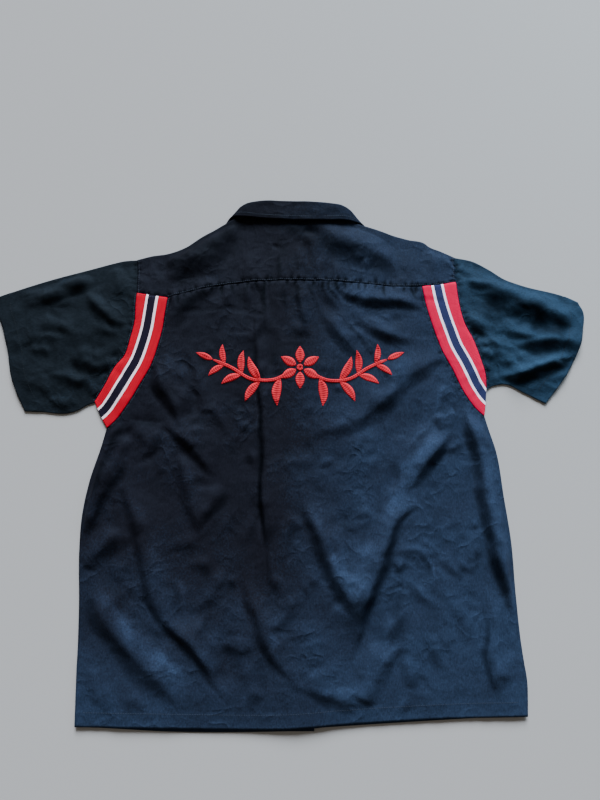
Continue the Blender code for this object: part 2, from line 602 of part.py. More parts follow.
def make_collar():
    """Stand, roll and fall in one wall, lofted round the neck."""
    table = np.array([list(roll) + [place] + list(edge) for roll, place, edge in COLLAR])
    path = through(table, COLLAR_STEPS)
    roll, edge = path[:, 0:3], path[:, 4:7]
    roll[:, 2] = np.maximum(roll[:, 2], WALL / 2 + COLLAR_ROLL_RADIUS)
    edge[:, 2] = np.maximum(edge[:, 2], WALL / 2)
    seam = neck_seam(path[:, 3])
    towards = (roll - seam)[:, :2]
    seam[:, :2] += towards / np.linalg.norm(towards, axis=1, keepdims=True) * SEAM_GAP
    along = np.gradient(roll, axis=0)
    along /= np.linalg.norm(along, axis=1, keepdims=True)
    up = roll - (seam + edge) / 2
    up -= along * np.sum(up * along, axis=1, keepdims=True)
    up /= np.linalg.norm(up, axis=1, keepdims=True)
    side = np.cross(along, up)
    centre = roll - up * COLLAR_ROLL_RADIUS
    inner_top = centre - side * COLLAR_ROLL_RADIUS
    outer_top = centre + side * COLLAR_ROLL_RADIUS
    lines = [seam + (inner_top - seam) * share for share in STAND_SHARES]
    for angle in COLLAR_ROLL_ARC:
        turn = math.radians(angle)
        lines.append(centre + (side * math.sin(turn) + up * math.cos(turn)) * COLLAR_ROLL_RADIUS)
    lines += [outer_top + (edge - outer_top) * share for share in FALL_SHARES]
    cloth("collar", np.stack(lines, axis=1), "cloth", even=False)


def make_button(index):
    """A flat four-hole button with a raised rim, face down."""
    outer = BUTTON_DIAMETER / 2
    inner = outer - BUTTON_RIM
    profile = [(0.0, BUTTON_RECESS), (inner - BUTTON_EDGE, BUTTON_RECESS), (inner, BUTTON_EDGE / 2),
               (inner + BUTTON_EDGE, 0.0), (outer - BUTTON_EDGE, 0.0), (outer, BUTTON_EDGE),
               (outer, BUTTON_THICKNESS - BUTTON_EDGE),
               (outer - BUTTON_EDGE, BUTTON_THICKNESS), (0.0, BUTTON_THICKNESS)]
    bm = bmesh.new()
    verts = [bm.verts.new((radius * MM, 0.0, height * MM)) for radius, height in profile]
    edges = [bm.edges.new(pair) for pair in zip(verts, verts[1:])]
    bmesh.ops.spin(bm, geom=verts + edges, cent=(0, 0, 0), axis=(0, 0, 1),
                   angle=math.tau, steps=BUTTON_SIDES)
    bmesh.ops.remove_doubles(bm, verts=bm.verts, dist=0.00001)
    bmesh.ops.recalc_face_normals(bm, faces=bm.faces)
    name = f"button_{index + 1}"
    mesh = bpy.data.meshes.new(name)
    bm.to_mesh(mesh)
    bm.free()
    button = bpy.data.objects.new(name, mesh)
    bpy.context.collection.objects.link(button)
    button.parent = SHIRT
    y = TOP_BUTTON_Y + BUTTON_STEP_Y * index
    button.location = (centre_x(y) * MM, y * MM, 0.0)
    button.data.materials.append(MATERIALS["button"])
    holes = button.modifiers.new("holes", "BOOLEAN")
    holes.operation = "DIFFERENCE"
    holes.object = hole_cutter(name, button.location)


def hole_cutter(name, place):
    bm = bmesh.new()
    half = HOLE_SPACING / 2 * MM
    for sign_x in (-1, 1):
        for sign_y in (-1, 1):
            made = bmesh.ops.create_cone(
                bm, cap_ends=True, segments=HOLE_SIDES, radius1=HOLE_DIAMETER / 2 * MM,
                radius2=HOLE_DIAMETER / 2 * MM, depth=3 * BUTTON_THICKNESS * MM)
            bmesh.ops.translate(bm, verts=made["verts"], vec=(sign_x * half, sign_y * half, 0))
    mesh = bpy.data.meshes.new(name + "_cutter")
    bm.to_mesh(mesh)
    bm.free()
    cutter = bpy.data.objects.new(name + "_cutter", mesh)
    bpy.context.collection.objects.link(cutter)
    cutter.parent = SHIRT
    cutter.location = place
    cutter.hide_render = True
    cutter.display_type = "WIRE"
    return cutter


clear_scene()
MATERIALS = {name: material(name) for name in COLOURS}
SHIRT = bpy.data.objects.new("shirt", None)
bpy.context.collection.objects.link(SHIRT)

make_back()
make_band("band_left", BAND_OUTER_LEFT, BAND_INNER_LEFT, BAND_TOP_LEFT, BAND_END_LEFT)
make_band("band_right", BAND_INNER_RIGHT, BAND_OUTER_RIGHT, BAND_TOP_RIGHT[::-1],
          BAND_END_RIGHT[::-1])
make_yoke()
make_sleeve("sleeve_left", (ARM_YOKE_LEFT[::-1], BAND_OUTER_LEFT[::-1]),
            ARM_FRONT_LEFT, SHOULDER_LEFT, SLEEVE_TOP_LEFT, SLEEVE_UNDER_LEFT,
            CUFF_LEFT, SLEEVE_MIDDLE_LEFT)
make_sleeve("sleeve_right", (ARM_YOKE_RIGHT[::-1], BAND_OUTER_RIGHT[::-1]),
            ARM_FRONT_RIGHT, SHOULDER_RIGHT, SLEEVE_TOP_RIGHT, SLEEVE_UNDER_RIGHT,
            CUFF_RIGHT, SLEEVE_MIDDLE_RIGHT)
make_fronts()
make_collar()
for number in range(BUTTON_COUNT):
    make_button(number)
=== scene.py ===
import json
import math

import bmesh
import bpy
import numpy as np
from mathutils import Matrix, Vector

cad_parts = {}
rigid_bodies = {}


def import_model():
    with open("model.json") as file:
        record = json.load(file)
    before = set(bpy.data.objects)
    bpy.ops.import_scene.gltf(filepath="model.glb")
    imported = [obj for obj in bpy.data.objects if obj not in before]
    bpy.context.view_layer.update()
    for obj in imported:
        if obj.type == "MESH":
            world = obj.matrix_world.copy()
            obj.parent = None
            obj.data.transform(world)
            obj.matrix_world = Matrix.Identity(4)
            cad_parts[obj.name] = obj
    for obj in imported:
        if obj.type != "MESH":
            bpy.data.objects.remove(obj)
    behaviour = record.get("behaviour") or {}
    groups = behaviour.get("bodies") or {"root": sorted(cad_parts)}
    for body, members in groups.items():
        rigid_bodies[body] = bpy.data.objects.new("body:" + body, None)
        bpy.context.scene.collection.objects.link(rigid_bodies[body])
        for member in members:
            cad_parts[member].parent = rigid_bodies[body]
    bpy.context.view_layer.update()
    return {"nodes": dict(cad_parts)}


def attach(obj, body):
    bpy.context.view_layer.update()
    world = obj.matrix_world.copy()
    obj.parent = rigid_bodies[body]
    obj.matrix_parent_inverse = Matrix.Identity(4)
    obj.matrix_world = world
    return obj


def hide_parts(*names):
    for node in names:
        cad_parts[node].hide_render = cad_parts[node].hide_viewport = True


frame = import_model()
print("frame loaded:", len(frame["nodes"]), "nodes")

mm = 0.001

# how the shirt lies, in millimetres: the same plan and layers as the solids
layers = {
    "wall": 1.2,            # wall of the solids
    "gap": 0.3,             # air between touching layers
    "loft": 3.6,            # air under the back, away from closed edges
    "loftRun": 45.0,
    "foldRun": 13.0,        # folds die out over this width before a closed edge
    "openShare": 0.45,      # share of loft and folds left at hem and cuffs
    "openRun": 45.0,
    "restMargin": 1.2,
}
opening = {
    "xAtHem": 18.0, "hemY": -374.0, "lean": 0.0175,   # centre line of the front opening
    "half": 17.0, "gap": 0.6, "clear": 2.0, "stepRun": 12.0,
    "topButtonY": 254.0, "buttonStep": -92.0, "buttons": 6, "buttonThick": 2.4,
    "levelHalf": 8.0, "fall": 14.0, "endLevel": 25.0, "endFall": 30.0,
}
leafRise = {"level": 20.0, "fall": 24.0}

plan = {
    "hem": [(-285, -374), (-218, -375), (-91, -377), (-24, -377), (75, -371), (204, -364),
            (321, -361)],
    "sideLeft": [(-285, -374), (-286, -341), (-287, -305), (-288, -262), (-290, -211),
                 (-294, -147), (-293, -95), (-285, -46), (-272, 0), (-265, 29)],
    "sideRight": [(321, -361), (323, -315), (320, -289), (318, -262), (315, -201), (313, -130),
                  (307, -74), (298, 0), (291, 24), (285, 47)],
    "yokeSeam": [(-184, 227), (-149, 236), (-91, 248), (16, 253), (103, 250), (161, 244),
                 (201, 245)],
    "bandInLeft": [(-265, 29), (-254, 39), (-238, 61), (-220, 93), (-205, 122), (-196, 151),
                   (-190, 178), (-187, 202), (-184, 227)],
    "bandInRight": [(285, 47), (274, 57), (260, 76), (240, 119), (227, 145), (219, 169),
                    (210, 199), (204, 226), (201, 245)],
    "bandOutLeft": [(-285, 68), (-271, 92), (-257, 120), (-244, 137), (-237, 162), (-231, 194),
                    (-231, 216), (-230, 234)],
    "bandOutRight": [(290, 86), (290, 105), (284, 130), (272, 166), (262, 187), (257, 207),
                     (254, 229), (252, 252)],
    "bandTopLeft": [(-230, 234), (-207, 230), (-184, 227)],
    "bandTopRight": [(201, 245), (226, 247), (252, 252)],
    "bandEndLeft": [(-285, 68), (-276, 48), (-265, 29)],
    "bandEndRight": [(285, 47), (288, 66), (290, 86)],
    "armYokeLeft": [(-230, 234), (-231, 262), (-233, 287)],
    "armYokeRight": [(252, 252), (252, 274), (252, 291)],
    "shoulderLeft": [(-233, 287), (-211, 293), (-186, 297), (-158, 308), (-138, 322),
                     (-115, 335), (-101, 344), (-85, 354)],
    "shoulderRight": [(252, 291), (231, 301), (213, 309), (207, 314), (182, 320), (158, 327),
                      (133, 336), (103, 346)],
    "neckBack": [(-85, 354), (-70, 357), (-48, 359), (9, 360), (62, 358), (88, 352), (103, 346)],
    "neckFrontLeft": [(-78, 339), (-70, 316), (-50, 293), (-29, 281), (-10.3, 275)],
    "neckFrontRight": [(98, 331), (89, 309), (68, 290), (44, 280), (23.7, 275)],
    "placketTopLeft": [(6.0, 275), (-2, 275), (-10.3, 275)],
    "placketTopRight": [(7.4, 275), (16, 275), (23.7, 275)],
    "neckSideLeft": [(-78, 339), (-81, 347), (-83.5, 354.7)],
    "neckSideRight": [(98, 331), (99.8, 339), (101.6, 346.8)],
    "neckBackOuter": [(-83.5, 354.7), (-70, 357), (-48, 359), (9, 360), (62, 358),
                      (88, 352.3), (101.6, 346.8)],
    "sleeveTopLeft": [(-233, 287), (-255, 285), (-267, 282), (-302, 272), (-362, 255),
                      (-421, 235), (-442, 227)],
    "sleeveTopRight": [(252, 291), (279, 285), (303, 272), (327, 256), (350, 247), (422, 226),
                       (436, 219)],
    "sleeveUnderLeft": [(-285, 68), (-299, 62), (-309, 56), (-322, 52), (-364, 54), (-387, 55)],
    "sleeveUnderRight": [(290, 86), (297, 91), (307, 94), (318, 95), (346, 82), (377, 66)],
    "cuffLeft": [(-442, 227), (-441, 212), (-428, 176), (-419, 146), (-409, 102), (-398, 76),
                 (-387, 55)],
    "cuffRight": [(436, 219), (442, 205), (439, 177), (428, 142), (415, 117), (396, 90),
                  (377, 66)],
    "armFrontLeft": [(-285, 68), (-262, 86), (-238, 120), (-222, 165), (-217, 215)],
    "armFrontRight": [(290, 86), (276, 101), (254, 128), (240, 165), (236, 215)],
    "hemFrontLeft": [(-282, -374), (-225, -377), (-167, -380), (-60, -381), (1.1, -380)],
    "hemFrontRight": [(317, -360), (204, -366), (100, -372), (35, -376)],
    "ventLeft": [(-282, -374), (-283, -341), (-285, -309), (-288, -262)],
    "ventRight": [(317, -360), (318, -320), (317, -296), (318, -262)],
}
bodyMiddle = (10.0, 100.0)
shoulderTurn = 16.0         # the yoke turns this far over the shoulder to the front


def ease(value):
    held = np.clip(value, 0.0, 1.0)
    return held * held * (3.0 - 2.0 * held)


def runOf(line):                      # length walked up to each point of a line
    return np.concatenate([[0.0], np.cumsum(np.linalg.norm(np.diff(line, axis=0), axis=1))])


def shareOf(line):
    run = runOf(line)
    return run / run[-1]


def placesAt(at, run, line):          # places on a line, at lengths along it
    return np.stack([np.interp(at, run, column) for column in line.T], axis=-1)


def unit(rows):
    return rows / np.linalg.norm(rows, axis=-1, keepdims=True)


def leftOf(along):
    return np.stack([-along[..., 1], along[..., 0]], axis=-1)


def curvePoints(points, shares):      # a smooth curve through the points, at shares of its length
    knots = np.array(points, dtype=float)
    at = shareOf(knots)
    slope = np.gradient(knots, at, axis=0)
    shares = np.clip(np.asarray(shares, dtype=float), 0.0, 1.0)
    index = np.clip(np.searchsorted(at, shares, side="right") - 1, 0, len(at) - 2)
    span = (at[index + 1] - at[index])[:, None]
    t = (shares - at[index])[:, None] / span
    return ((2 * t**3 - 3 * t**2 + 1) * knots[index]
            + (t**3 - 2 * t**2 + t) * span * slope[index]
            + (3 * t**2 - 2 * t**3) * knots[index + 1]
            + (t**3 - t**2) * span * slope[index + 1])


def evenCurve(points, steps):
    return curvePoints(points, np.linspace(0, 1, steps + 1))


def edge(name, steps):
    return evenCurve(plan[name], steps)


def chain(*runs):
    return np.concatenate([runs[0]] + [run[1:] for run in runs[1:]])


def patch(bottom, top, left, right):  # plan grid between four edges, rows from bottom to top
    u = ((shareOf(bottom) + shareOf(top)) / 2)[None, :, None]
    v = ((shareOf(left) + shareOf(right)) / 2)[:, None, None]
    ruled = (1 - v) * bottom[None] + v * top[None]
    ruled = ruled + (1 - u) * left[:, None] + u * right[:, None]
    return ruled - ((1 - u) * (1 - v) * bottom[0] + u * (1 - v) * bottom[-1]
                    + (1 - u) * v * top[0] + u * v * top[-1])


def distanceTo(x, y, line):           # distance, side (+1 on the left) and share along a line
    starts, run, before = line[:-1], np.diff(line, axis=0), runOf(line)
    lengths = np.linalg.norm(run, axis=1)
    spot = np.stack([x.ravel(), y.ravel()], axis=1)[:, None, :]
    t = np.clip(np.sum((spot - starts) * run, axis=2) / lengths**2, 0.0, 1.0)
    offset = spot - (starts + t[..., None] * run)
    squared = np.sum(offset**2, axis=2)
    best = np.argmin(squared, axis=1)
    row = np.arange(len(best))
    side = np.sign(run[best, 0] * offset[row, best, 1] - run[best, 1] * offset[row, best, 0])
    share = (before[best] + t[row, best] * lengths[best]) / before[-1]
    gap = np.sqrt(squared[row, best])
    return gap.reshape(x.shape), side.reshape(x.shape), share.reshape(x.shape)


def nearest(x, y, lines):
    return np.minimum.reduce([distanceTo(x, y, line)[0] for line in lines])


def makeNoise(seed):                  # smooth value noise on a seeded lattice
    size = 96
    lattice = np.random.default_rng(seed).uniform(-1.0, 1.0, (size, size))

    def noise(x, y, cell):
        u, v = x / cell + 31.7, y / cell + 17.3       # keeps the lattice's corner off the cloth
        i, j = np.floor(u).astype(int), np.floor(v).astype(int)
        s, t = ease(u - i), ease(v - j)
        low = lattice[i % size, j % size] * (1 - s) + lattice[(i + 1) % size, j % size] * s
        high = (lattice[i % size, (j + 1) % size] * (1 - s)
                + lattice[(i + 1) % size, (j + 1) % size] * s)
        return low * (1 - t) + high * t
    return noise


warpX, warpY, swell, gather = makeNoise(3), makeNoise(4), makeNoise(5), makeNoise(6)
crinkles = {"warp": 5.0, "warpCell": 21.0, "sharp": 6.0, "rise": 1.4, "riseCell": 17.0,
            "dip": 0.9, "dipCell": 12.0}


def crackle(x, y):                    # sharp small creases where the noise crosses zero
    x0 = x + crinkles["warp"] * warpX(x, y, crinkles["warpCell"])
    y0 = y + crinkles["warp"] * warpY(x, y, crinkles["warpCell"])
    first = np.abs(swell(x0 * 1.3, y0 * 0.55, crinkles["riseCell"]))
    second = np.abs(gather(x0 * 1.1, y0 * 0.8, crinkles["dipCell"]))
    return (crinkles["rise"] * np.exp(-first * crinkles["sharp"])
            - crinkles["dip"] * np.exp(-second * crinkles["sharp"]))


closedEdges = [evenCurve(line, 24) for line in (
    plan["sideLeft"][3:], plan["sideRight"][3:], plan["bandEndLeft"], plan["bandEndRight"],
    plan["shoulderLeft"], plan["shoulderRight"], plan["sleeveTopLeft"], plan["sleeveTopRight"],
    plan["sleeveUnderLeft"], plan["sleeveUnderRight"])]
openEdges = [evenCurve(line, 24) for line in (
    plan["hem"], plan["sideLeft"][:4], plan["sideRight"][:4], plan["cuffLeft"],
    plan["cuffRight"])]

# folds of the upper layer: height, width of the steep flank and of the broad one, how
# crisp, shares of the route over which it rises and falls, and the route of the steep flank
bodyFolds = [
    (11.5, 7, 26, 0.5, 0.35, 0.5, [(242, 24), (224, 1), (202, -25), (184, -48), (168, -69)]),
    (13, 6.5, 26, 0.5, 0.25, 0.3,
     [(186, -83), (169, -90), (151, -104), (141, -131), (132, -157), (118, -191), (107, -227),
      (99, -263), (86, -294)]),
    (7.8, 8, 22, 0.5, 0.45, 0.2,
     [(8, -52), (19, -93), (38, -133), (62, -174), (80, -208), (94, -237)]),
    (12, 6, 16, 0.5, 0.15, 0.25,
     [(254, 73), (260, 33), (266, -11), (274, -61), (281, -109), (289, -160), (298, -208),
      (307, -250)]),
    (3.2, 6, 8, 0.5, 0.3, 0.3, [(267, -191), (273, -227), (276, -263), (277, -302), (276, -340)]),
    (7.5, 11, 26, 0.4, 0.2, 0.35,
     [(-286, -198), (-270, -219), (-244, -255), (-213, -292), (-179, -324), (-138, -357)]),
    (5.2, 6, 18, 0.45, 0.2, 0.25,
     [(-243, -38), (-225, -82), (-215, -116), (-207, -153), (-197, -195), (-180, -228),
      (-148, -262), (-120, -289), (-98, -318), (-76, -348)]),
    (3.5, 9, 16, 0.4, 0.4, 0.4, [(-172, -240), (-144, -263), (-120, -289), (-100, -317)]),
    (5.5, 6, 16, 0.5, 0.35, 0.35,
     [(-70, -168), (-56, -220), (-41, -255), (-22, -289), (-2, -310), (22, -322)]),
    (4.4, 3.6, 18, 0.6, 0.35, 0.3,
     [(-50, 229), (-48, 160), (-46, 92), (-45, 26), (-43, -32), (-39, -82), (-36, -130),
      (-31, -174), (-24, -216)]),
    (9, 7, 20, 0.5, 0.45, 0.4, [(-210, 134), (-198, 108), (-183, 78), (-168, 50), (-158, 26)]),
    (8.5, 7, 20, 0.5, 0.4, 0.35, [(-190, 40), (-174, 26), (-154, 7), (-136, -12), (-114, -44)]),
    (3, 8, 10, 0.4, 0.4, 0.3, [(-182, 21), (-198, 11), (-215, 1)]),
    (5, 9, 12, 0.4, 0.2, 0.2,
     [(-231, 64), (-242, 34), (-256, -2), (-269, -46), (-278, -91), (-285, -137)]),
    (5, 9, 12, 0.4, 0.2, 0.2,
     [(-224, 23), (-234, -6), (-246, -35), (-260, -70), (-273, -105), (-284, -130)]),
    (5, 10, 14, 0.4, 0.25, 0.1, [(-228, -122), (-247, -138), (-267, -155), (-286, -171)]),
    (4.5, 6.5, 13, 0.5, 0.2, 0.3,
     [(-162, -11), (-156, -39), (-146, -75), (-136, -102), (-129, -126)]),
    (4, 7, 12, 0.5, 0.3, 0.3, [(-94, -52), (-105, -75), (-114, -98), (-123, -123)]),
    (3, 8, 10, 0.4, 0.3, 0.4, [(-87, -169), (-95, -195), (-108, -215), (-123, -232)]),
    (2.8, 8, 10, 0.4, 0.4, 0.4, [(-117, -133), (-138, -144), (-158, -157)]),
    (2.5, 7, 10, 0.4, 0.3, 0.3, [(-156, 142), (-146, 112), (-132, 76), (-113, 40), (-98, 7)]),
    (4, 8, 14, 0.35, 0.4, 0.3, [(-92, 256), (-112, 240), (-132, 226), (-154, 207), (-180, 178)]),
    (7, 6.5, 16, 0.45, 0.35, 0.35,
     [(64, 248), (82, 229), (106, 219), (136, 215), (172, 211), (214, 197)]),
    (5.5, 7, 16, 0.4, 0.4, 0.45, [(96, 192), (116, 178), (138, 166), (164, 159), (198, 158)]),
    (5, 7, 13, 0.4, 0.4, 0.4, [(34, 206), (54, 184), (76, 158), (104, 122)]),
    (6, 9, 22, 0.4, 0.2, 0.6,
     [(238, 128), (208, 121), (184, 107), (160, 82), (138, 60), (112, 41), (82, 27), (46, 14),
      (6, -6)]),
    (3.5, 8, 14, 0.4, 0.4, 0.4, [(168, 90), (146, 70), (124, 50)]),
    (3, 5, 8, 0.5, 0.3, 0.3, [(214, 55), (215, 40), (220, 24)]),
    (4.8, 8, 22, 0.4, 0.3, 0.3,
     [(12, -316), (28, -327), (46, -337), (70, -346), (94, -348), (106, -347)]),
    (6, 8, 18, 0.4, 0.25, 0.1, [(149, -277), (135, -292), (123, -312), (113, -332), (106, -348)]),
    (2.5, 6, 8, 0.5, 0.3, 0.3, [(156, -282), (161, -304), (168, -327)]),
    (2, 6, 8, 0.5, 0.4, 0.4, [(32, -211), (12, -215), (-7, -224)]),
    (2, 6, 9, 0.5, 0.4, 0.4, [(46, -255), (23, -255), (2, -266)]),
    (2.5, 7, 10, 0.4, 0.4, 0.3, [(-82, -258), (-68, -292), (-55, -327)]),
    (2.2, 7, 9, 0.4, 0.3, 0.3, [(-279, -304), (-264, -327), (-251, -355)]),
    (3, 7, 10, 0.4, 0.2, 0.4, [(316, -280), (304, -298), (292, -320)]),
    (2.2, 6, 9, 0.5, 0.4, 0.4, [(209, -211), (229, -237), (236, -274)]),
    (1.8, 5, 8, 0.5, 0.4, 0.4, [(197, -157), (221, -165), (241, -184)]),
    (2.8, 8, 11, 0.3, 0.4, 0.6, [(-82, 262), (-88, 226), (-104, 160)]),
    (3.0, 7, 11, 0.3, 0.4, 0.6, [(-20, 290), (-22, 226), (-24, 150)]),
    (2.8, 7, 10, 0.3, 0.4, 0.6, [(2, 276), (10, 222), (16, 160)]),
    (3.0, 7, 10, 0.3, 0.4, 0.6, [(34, 276), (54, 226), (86, 176)]),
]
yokeFolds = [
    (6.5, 13, 30, 0.25, 0.2, 0.3,
     [(-75, 345), (-93, 329), (-110, 310), (-129, 287), (-146, 266), (-161, 244)]),
    (7, 14, 17, 0.3, 0.4, 0.3,
     [(8, 338), (48, 328), (84, 311), (106, 299), (130, 285), (166, 262)]),
    (3.2, 6, 12, 0.4, 0.2, 0.3, [(18, 329), (28, 306), (37, 284), (43, 261)]),
    (2.4, 8, 12, 0.3, 0.45, 0.5, [(-66, 226), (-70, 270), (-82, 308)]),
    (2.4, 7, 11, 0.3, 0.45, 0.5, [(74, 226), (80, 268), (88, 300)]),
    (2.0, 7, 11, 0.3, 0.45, 0.5, [(124, 232), (128, 262), (124, 288)]),
    (3, 7, 9, 0.4, 0.3, 0.3, [(206, 310), (213, 287), (215, 264)]),
    (2.5, 7, 9, 0.4, 0.3, 0.3, [(-166, 300), (-166, 274), (-172, 245)]),
]
sleeveFolds = [
    (5, 8, 12, 0.45, 0.15, 0.25,
     [(-408, 213), (-379, 223), (-346, 234), (-314, 242), (-284, 250)]),
    (6, 7.5, 12, 0.5, 0.25, 0.4, [(-310, 232), (-292, 209), (-273, 195), (-253, 185), (-234, 181)]),
    (4.5, 7, 11, 0.5, 0.2, 0.4,
     [(-330, 144), (-304, 126), (-284, 116), (-266, 122), (-250, 132), (-238, 138)]),
    (3, 7, 9, 0.5, 0.3, 0.3, [(-348, 98), (-328, 98), (-307, 94), (-289, 88)]),
    (2.5, 7, 9, 0.5, 0.3, 0.3, [(-398, 94), (-374, 82), (-346, 71)]),
    (2.5, 7, 8, 0.4, 0.2, 0.3, [(-270, 277), (-261, 251), (-249, 223)]),
    (1.8, 7, 9, 0.5, 0.4, 0.4, [(-387, 176), (-355, 182), (-321, 176)]),
    (1.8, 7, 9, 0.5, 0.4, 0.3, [(-300, 164), (-276, 171), (-249, 167)]),
    (1.5, 6, 8, 0.5, 0.4, 0.4, [(-399, 145), (-369, 142), (-343, 145)]),
    (2.5, 6, 7, 0.5, 0.3, 0.3, [(-306, 86), (-298, 98), (-289, 82), (-280, 68)]),
    (11, 16, 13, 0.35, 0.22, 0.2,
     [(272, 240), (300, 232), (326, 224), (361, 210), (397, 191), (430, 180)]),
    (4, 6, 9, 0.4, 0.25, 0.35, [(266, 253), (290, 250), (314, 245)]),
    (5, 5.5, 11, 0.5, 0.3, 0.3, [(316, 172), (338, 167), (370, 160)]),
    (8, 9, 12, 0.5, 0.3, 0.15, [(338, 141), (366, 150), (394, 155), (420, 150), (433, 140)]),
    (9, 7, 11, 0.5, 0.3, 0.15, [(306, 92), (340, 102), (370, 113), (396, 123), (422, 139)]),
    (3, 6, 8, 0.5, 0.3, 0.3, [(277, 144), (288, 134), (301, 127)]),
]


def evenRows(table):                  # height, width on both sides, rise, fall, route
    return [(height, half, half, 0.6, rise, fall, route)
            for height, half, rise, fall, route in table]


thinCreases = evenRows([
    (0.9, 4.2, 0.3, 0.3, [(8, 218), (20, 192), (31, 165)]),
    (1, 4.2, 0.2, 0.2, [(76, 195), (105, 164), (134, 127), (160, 94)]),
    (0.9, 4.2, 0.3, 0.3, [(91, 182), (117, 158), (141, 142)]),
    (0.8, 4.2, 0.3, 0.3, [(173, -137), (189, -157), (199, -184)]),
    (0.8, 4.2, 0.3, 0.3, [(232, -157), (253, -166), (270, -157)]),
    (-0.8, 4, 0.1, 0.1, [(-187, 204), (-119, 206), (-22, 204)]),
    (-1.9, 3.6, 0.25, 0.3,
     [(-49, 226), (-47, 160), (-45, 92), (-44, 26), (-42, -32), (-38, -82), (-35, -130),
      (-30, -174), (-22, -220)]),
    (1.3, 3.4, 0.05, 0.7, [(-38, 250), (-32, 216), (-30, 182)]),
    (1.1, 3.2, 0.05, 0.7, [(-10, 252), (-6, 222), (-4, 190)]),
    (1.4, 3.4, 0.05, 0.6, [(9, 253), (16, 214), (27, 172), (34, 148)]),
    (1.2, 3.2, 0.05, 0.7, [(27, 253), (38, 221), (47, 190)]),
    (1.0, 3.2, 0.05, 0.7, [(-64, 250), (-62, 222), (-60, 196)]),
    (1.2, 3.4, 0.1, 0.7, [(56, 252), (72, 224), (84, 199)]),
    (1.0, 3.4, 0.1, 0.6, [(-12, 257), (-18, 282), (-20, 306)]),
    (0.9, 3.4, 0.1, 0.6, [(12, 257), (14, 280), (10, 304)]),
])
shadePatches = evenRows([              # painted shade in hollows, with no relief of its own
    (60, 13, 0.15, 0.2,
     [(-22, 350), (11, 340), (53, 323), (92, 307), (130, 286), (172, 252)]),
    (60, 10, 0.1, 0.15,
     [(-72, 362), (-84, 352), (-104, 332), (-126, 305), (-148, 276), (-172, 232)]),
    (16, 18, 0.3, 0.3, [(-100, 344), (-138, 312), (-180, 282), (-206, 262)]),
    (40, 12, 0.3, 0.3, [(292, 230), (324, 214), (353, 203), (387, 194), (414, 188)]),
    (60, 6, 0.3, 0.3, [(-310, 232), (-298, 216), (-272, 203), (-248, 197), (-226, 194)]),
    (50, 6, 0.3, 0.3, [(-336, 144), (-300, 140), (-283, 133), (-262, 140), (-236, 149)]),
    (60, 7, 0.3, 0.25, [(-424, 200), (-389, 213), (-356, 225), (-312, 238)]),
    (26, 4, 0.3, 0.3, [(-380, 95), (-344, 103), (-292, 95)]),
    (24, 6, 0.3, 0.3, [(-233, 54), (-260, -4), (-272, -46), (-280, -92)]),
    (24, 5, 0.3, 0.3, [(-226, -11), (-251, -54), (-282, -123)]),
    (9, 6, 0.3, 0.3, [(-229, -123), (-256, -147), (-283, -167)]),
    (40, 8, 0.25, 0.3, [(-118, 242), (-153, 218), (-182, 189)]),
    (22, 3, 0.3, 0.3, [(261, -197), (270, -250), (272, -301), (283, -352)]),
    (16, 5, 0.3, 0.3, [(-91, -54), (-108, -89), (-123, -116)]),
    (12, 5, 0.3, 0.4, [(46, 189), (72, 164), (106, 141)]),
])
highlightPatches = evenRows([            # and painted highlights on flanks that catch the light
    (12, 9, 0.4, 0.4, [(196, 8), (172, -24), (152, -50), (134, -84)]),
    (24, 8, 0.25, 0.4, [(218, 27), (184, -17), (147, -71), (110, -126)]),
    (12, 8, 0.3, 0.3, [(-271, -187), (-231, -230), (-188, -276), (-122, -320)]),
    (7, 5, 0.3, 0.3, [(-165, -243), (-134, -266), (-99, -295)]),
    (9, 6, 0.4, 0.4, [(43, -330), (70, -333), (98, -317)]),
    (10, 5, 0.4, 0.4, [(23, -75), (58, -137), (85, -191)]),
    (7, 4, 0.4, 0.4, [(212, 54), (224, 84), (247, 92)]),
    (5, 6, 0.3, 0.3, [(-74, -184), (-59, -237), (-24, -295)]),
])
upperFolds = bodyFolds + yokeFolds + sleeveFolds
foldStyle = {"lean": (0.03, 1.0),      # broad flanks lie on this side
             "wide": 1.15, "height": 1.08, "endTaper": 0.45, "crestShift": 0.7, "reach": 3.4,
             "uneven": 0.26, "unevenCell": 34.0, "sharp": 1.7, "crestRound": 0.5,
             "footSteep": 0.17, "footBroad": 0.05, "footPlace": 1.9, "footWidth": 0.6}
wander = {"far": 5.0, "farCell": 55.0, "near": 1.6, "nearCell": 17.0}
strays = {"zones": [(520, -420, 430, -360, 330),     # how many, left, right, bottom, top
                    (90, -430, -240, 55, 285), (90, 258, 430, 75, 290)],
          "seed": 21, "lengths": (14, 80), "heights": (0.4, 2.0), "widths": (3.8, 9.0),
          "turn": 0.4, "bow": 0.2, "crisp": 0.6, "fade": 0.45}


def ridge(past, steep, broad, crisp):     # cross-section of a fold, past its crest
    away = np.abs(past) / np.where(past > 0, broad, steep)
    soft = np.exp(-away**2)
    rounding = foldStyle["crestRound"]
    sharp = np.exp(-foldStyle["sharp"] * (np.sqrt(away**2 + rounding**2) - rounding))
    foot = (np.where(past < 0, foldStyle["footSteep"], foldStyle["footBroad"])
            * np.exp(-((away - foldStyle["footPlace"]) / foldStyle["footWidth"])**2))
    return soft * (1 - crisp) + sharp * crisp - foot * (0.5 + crisp)


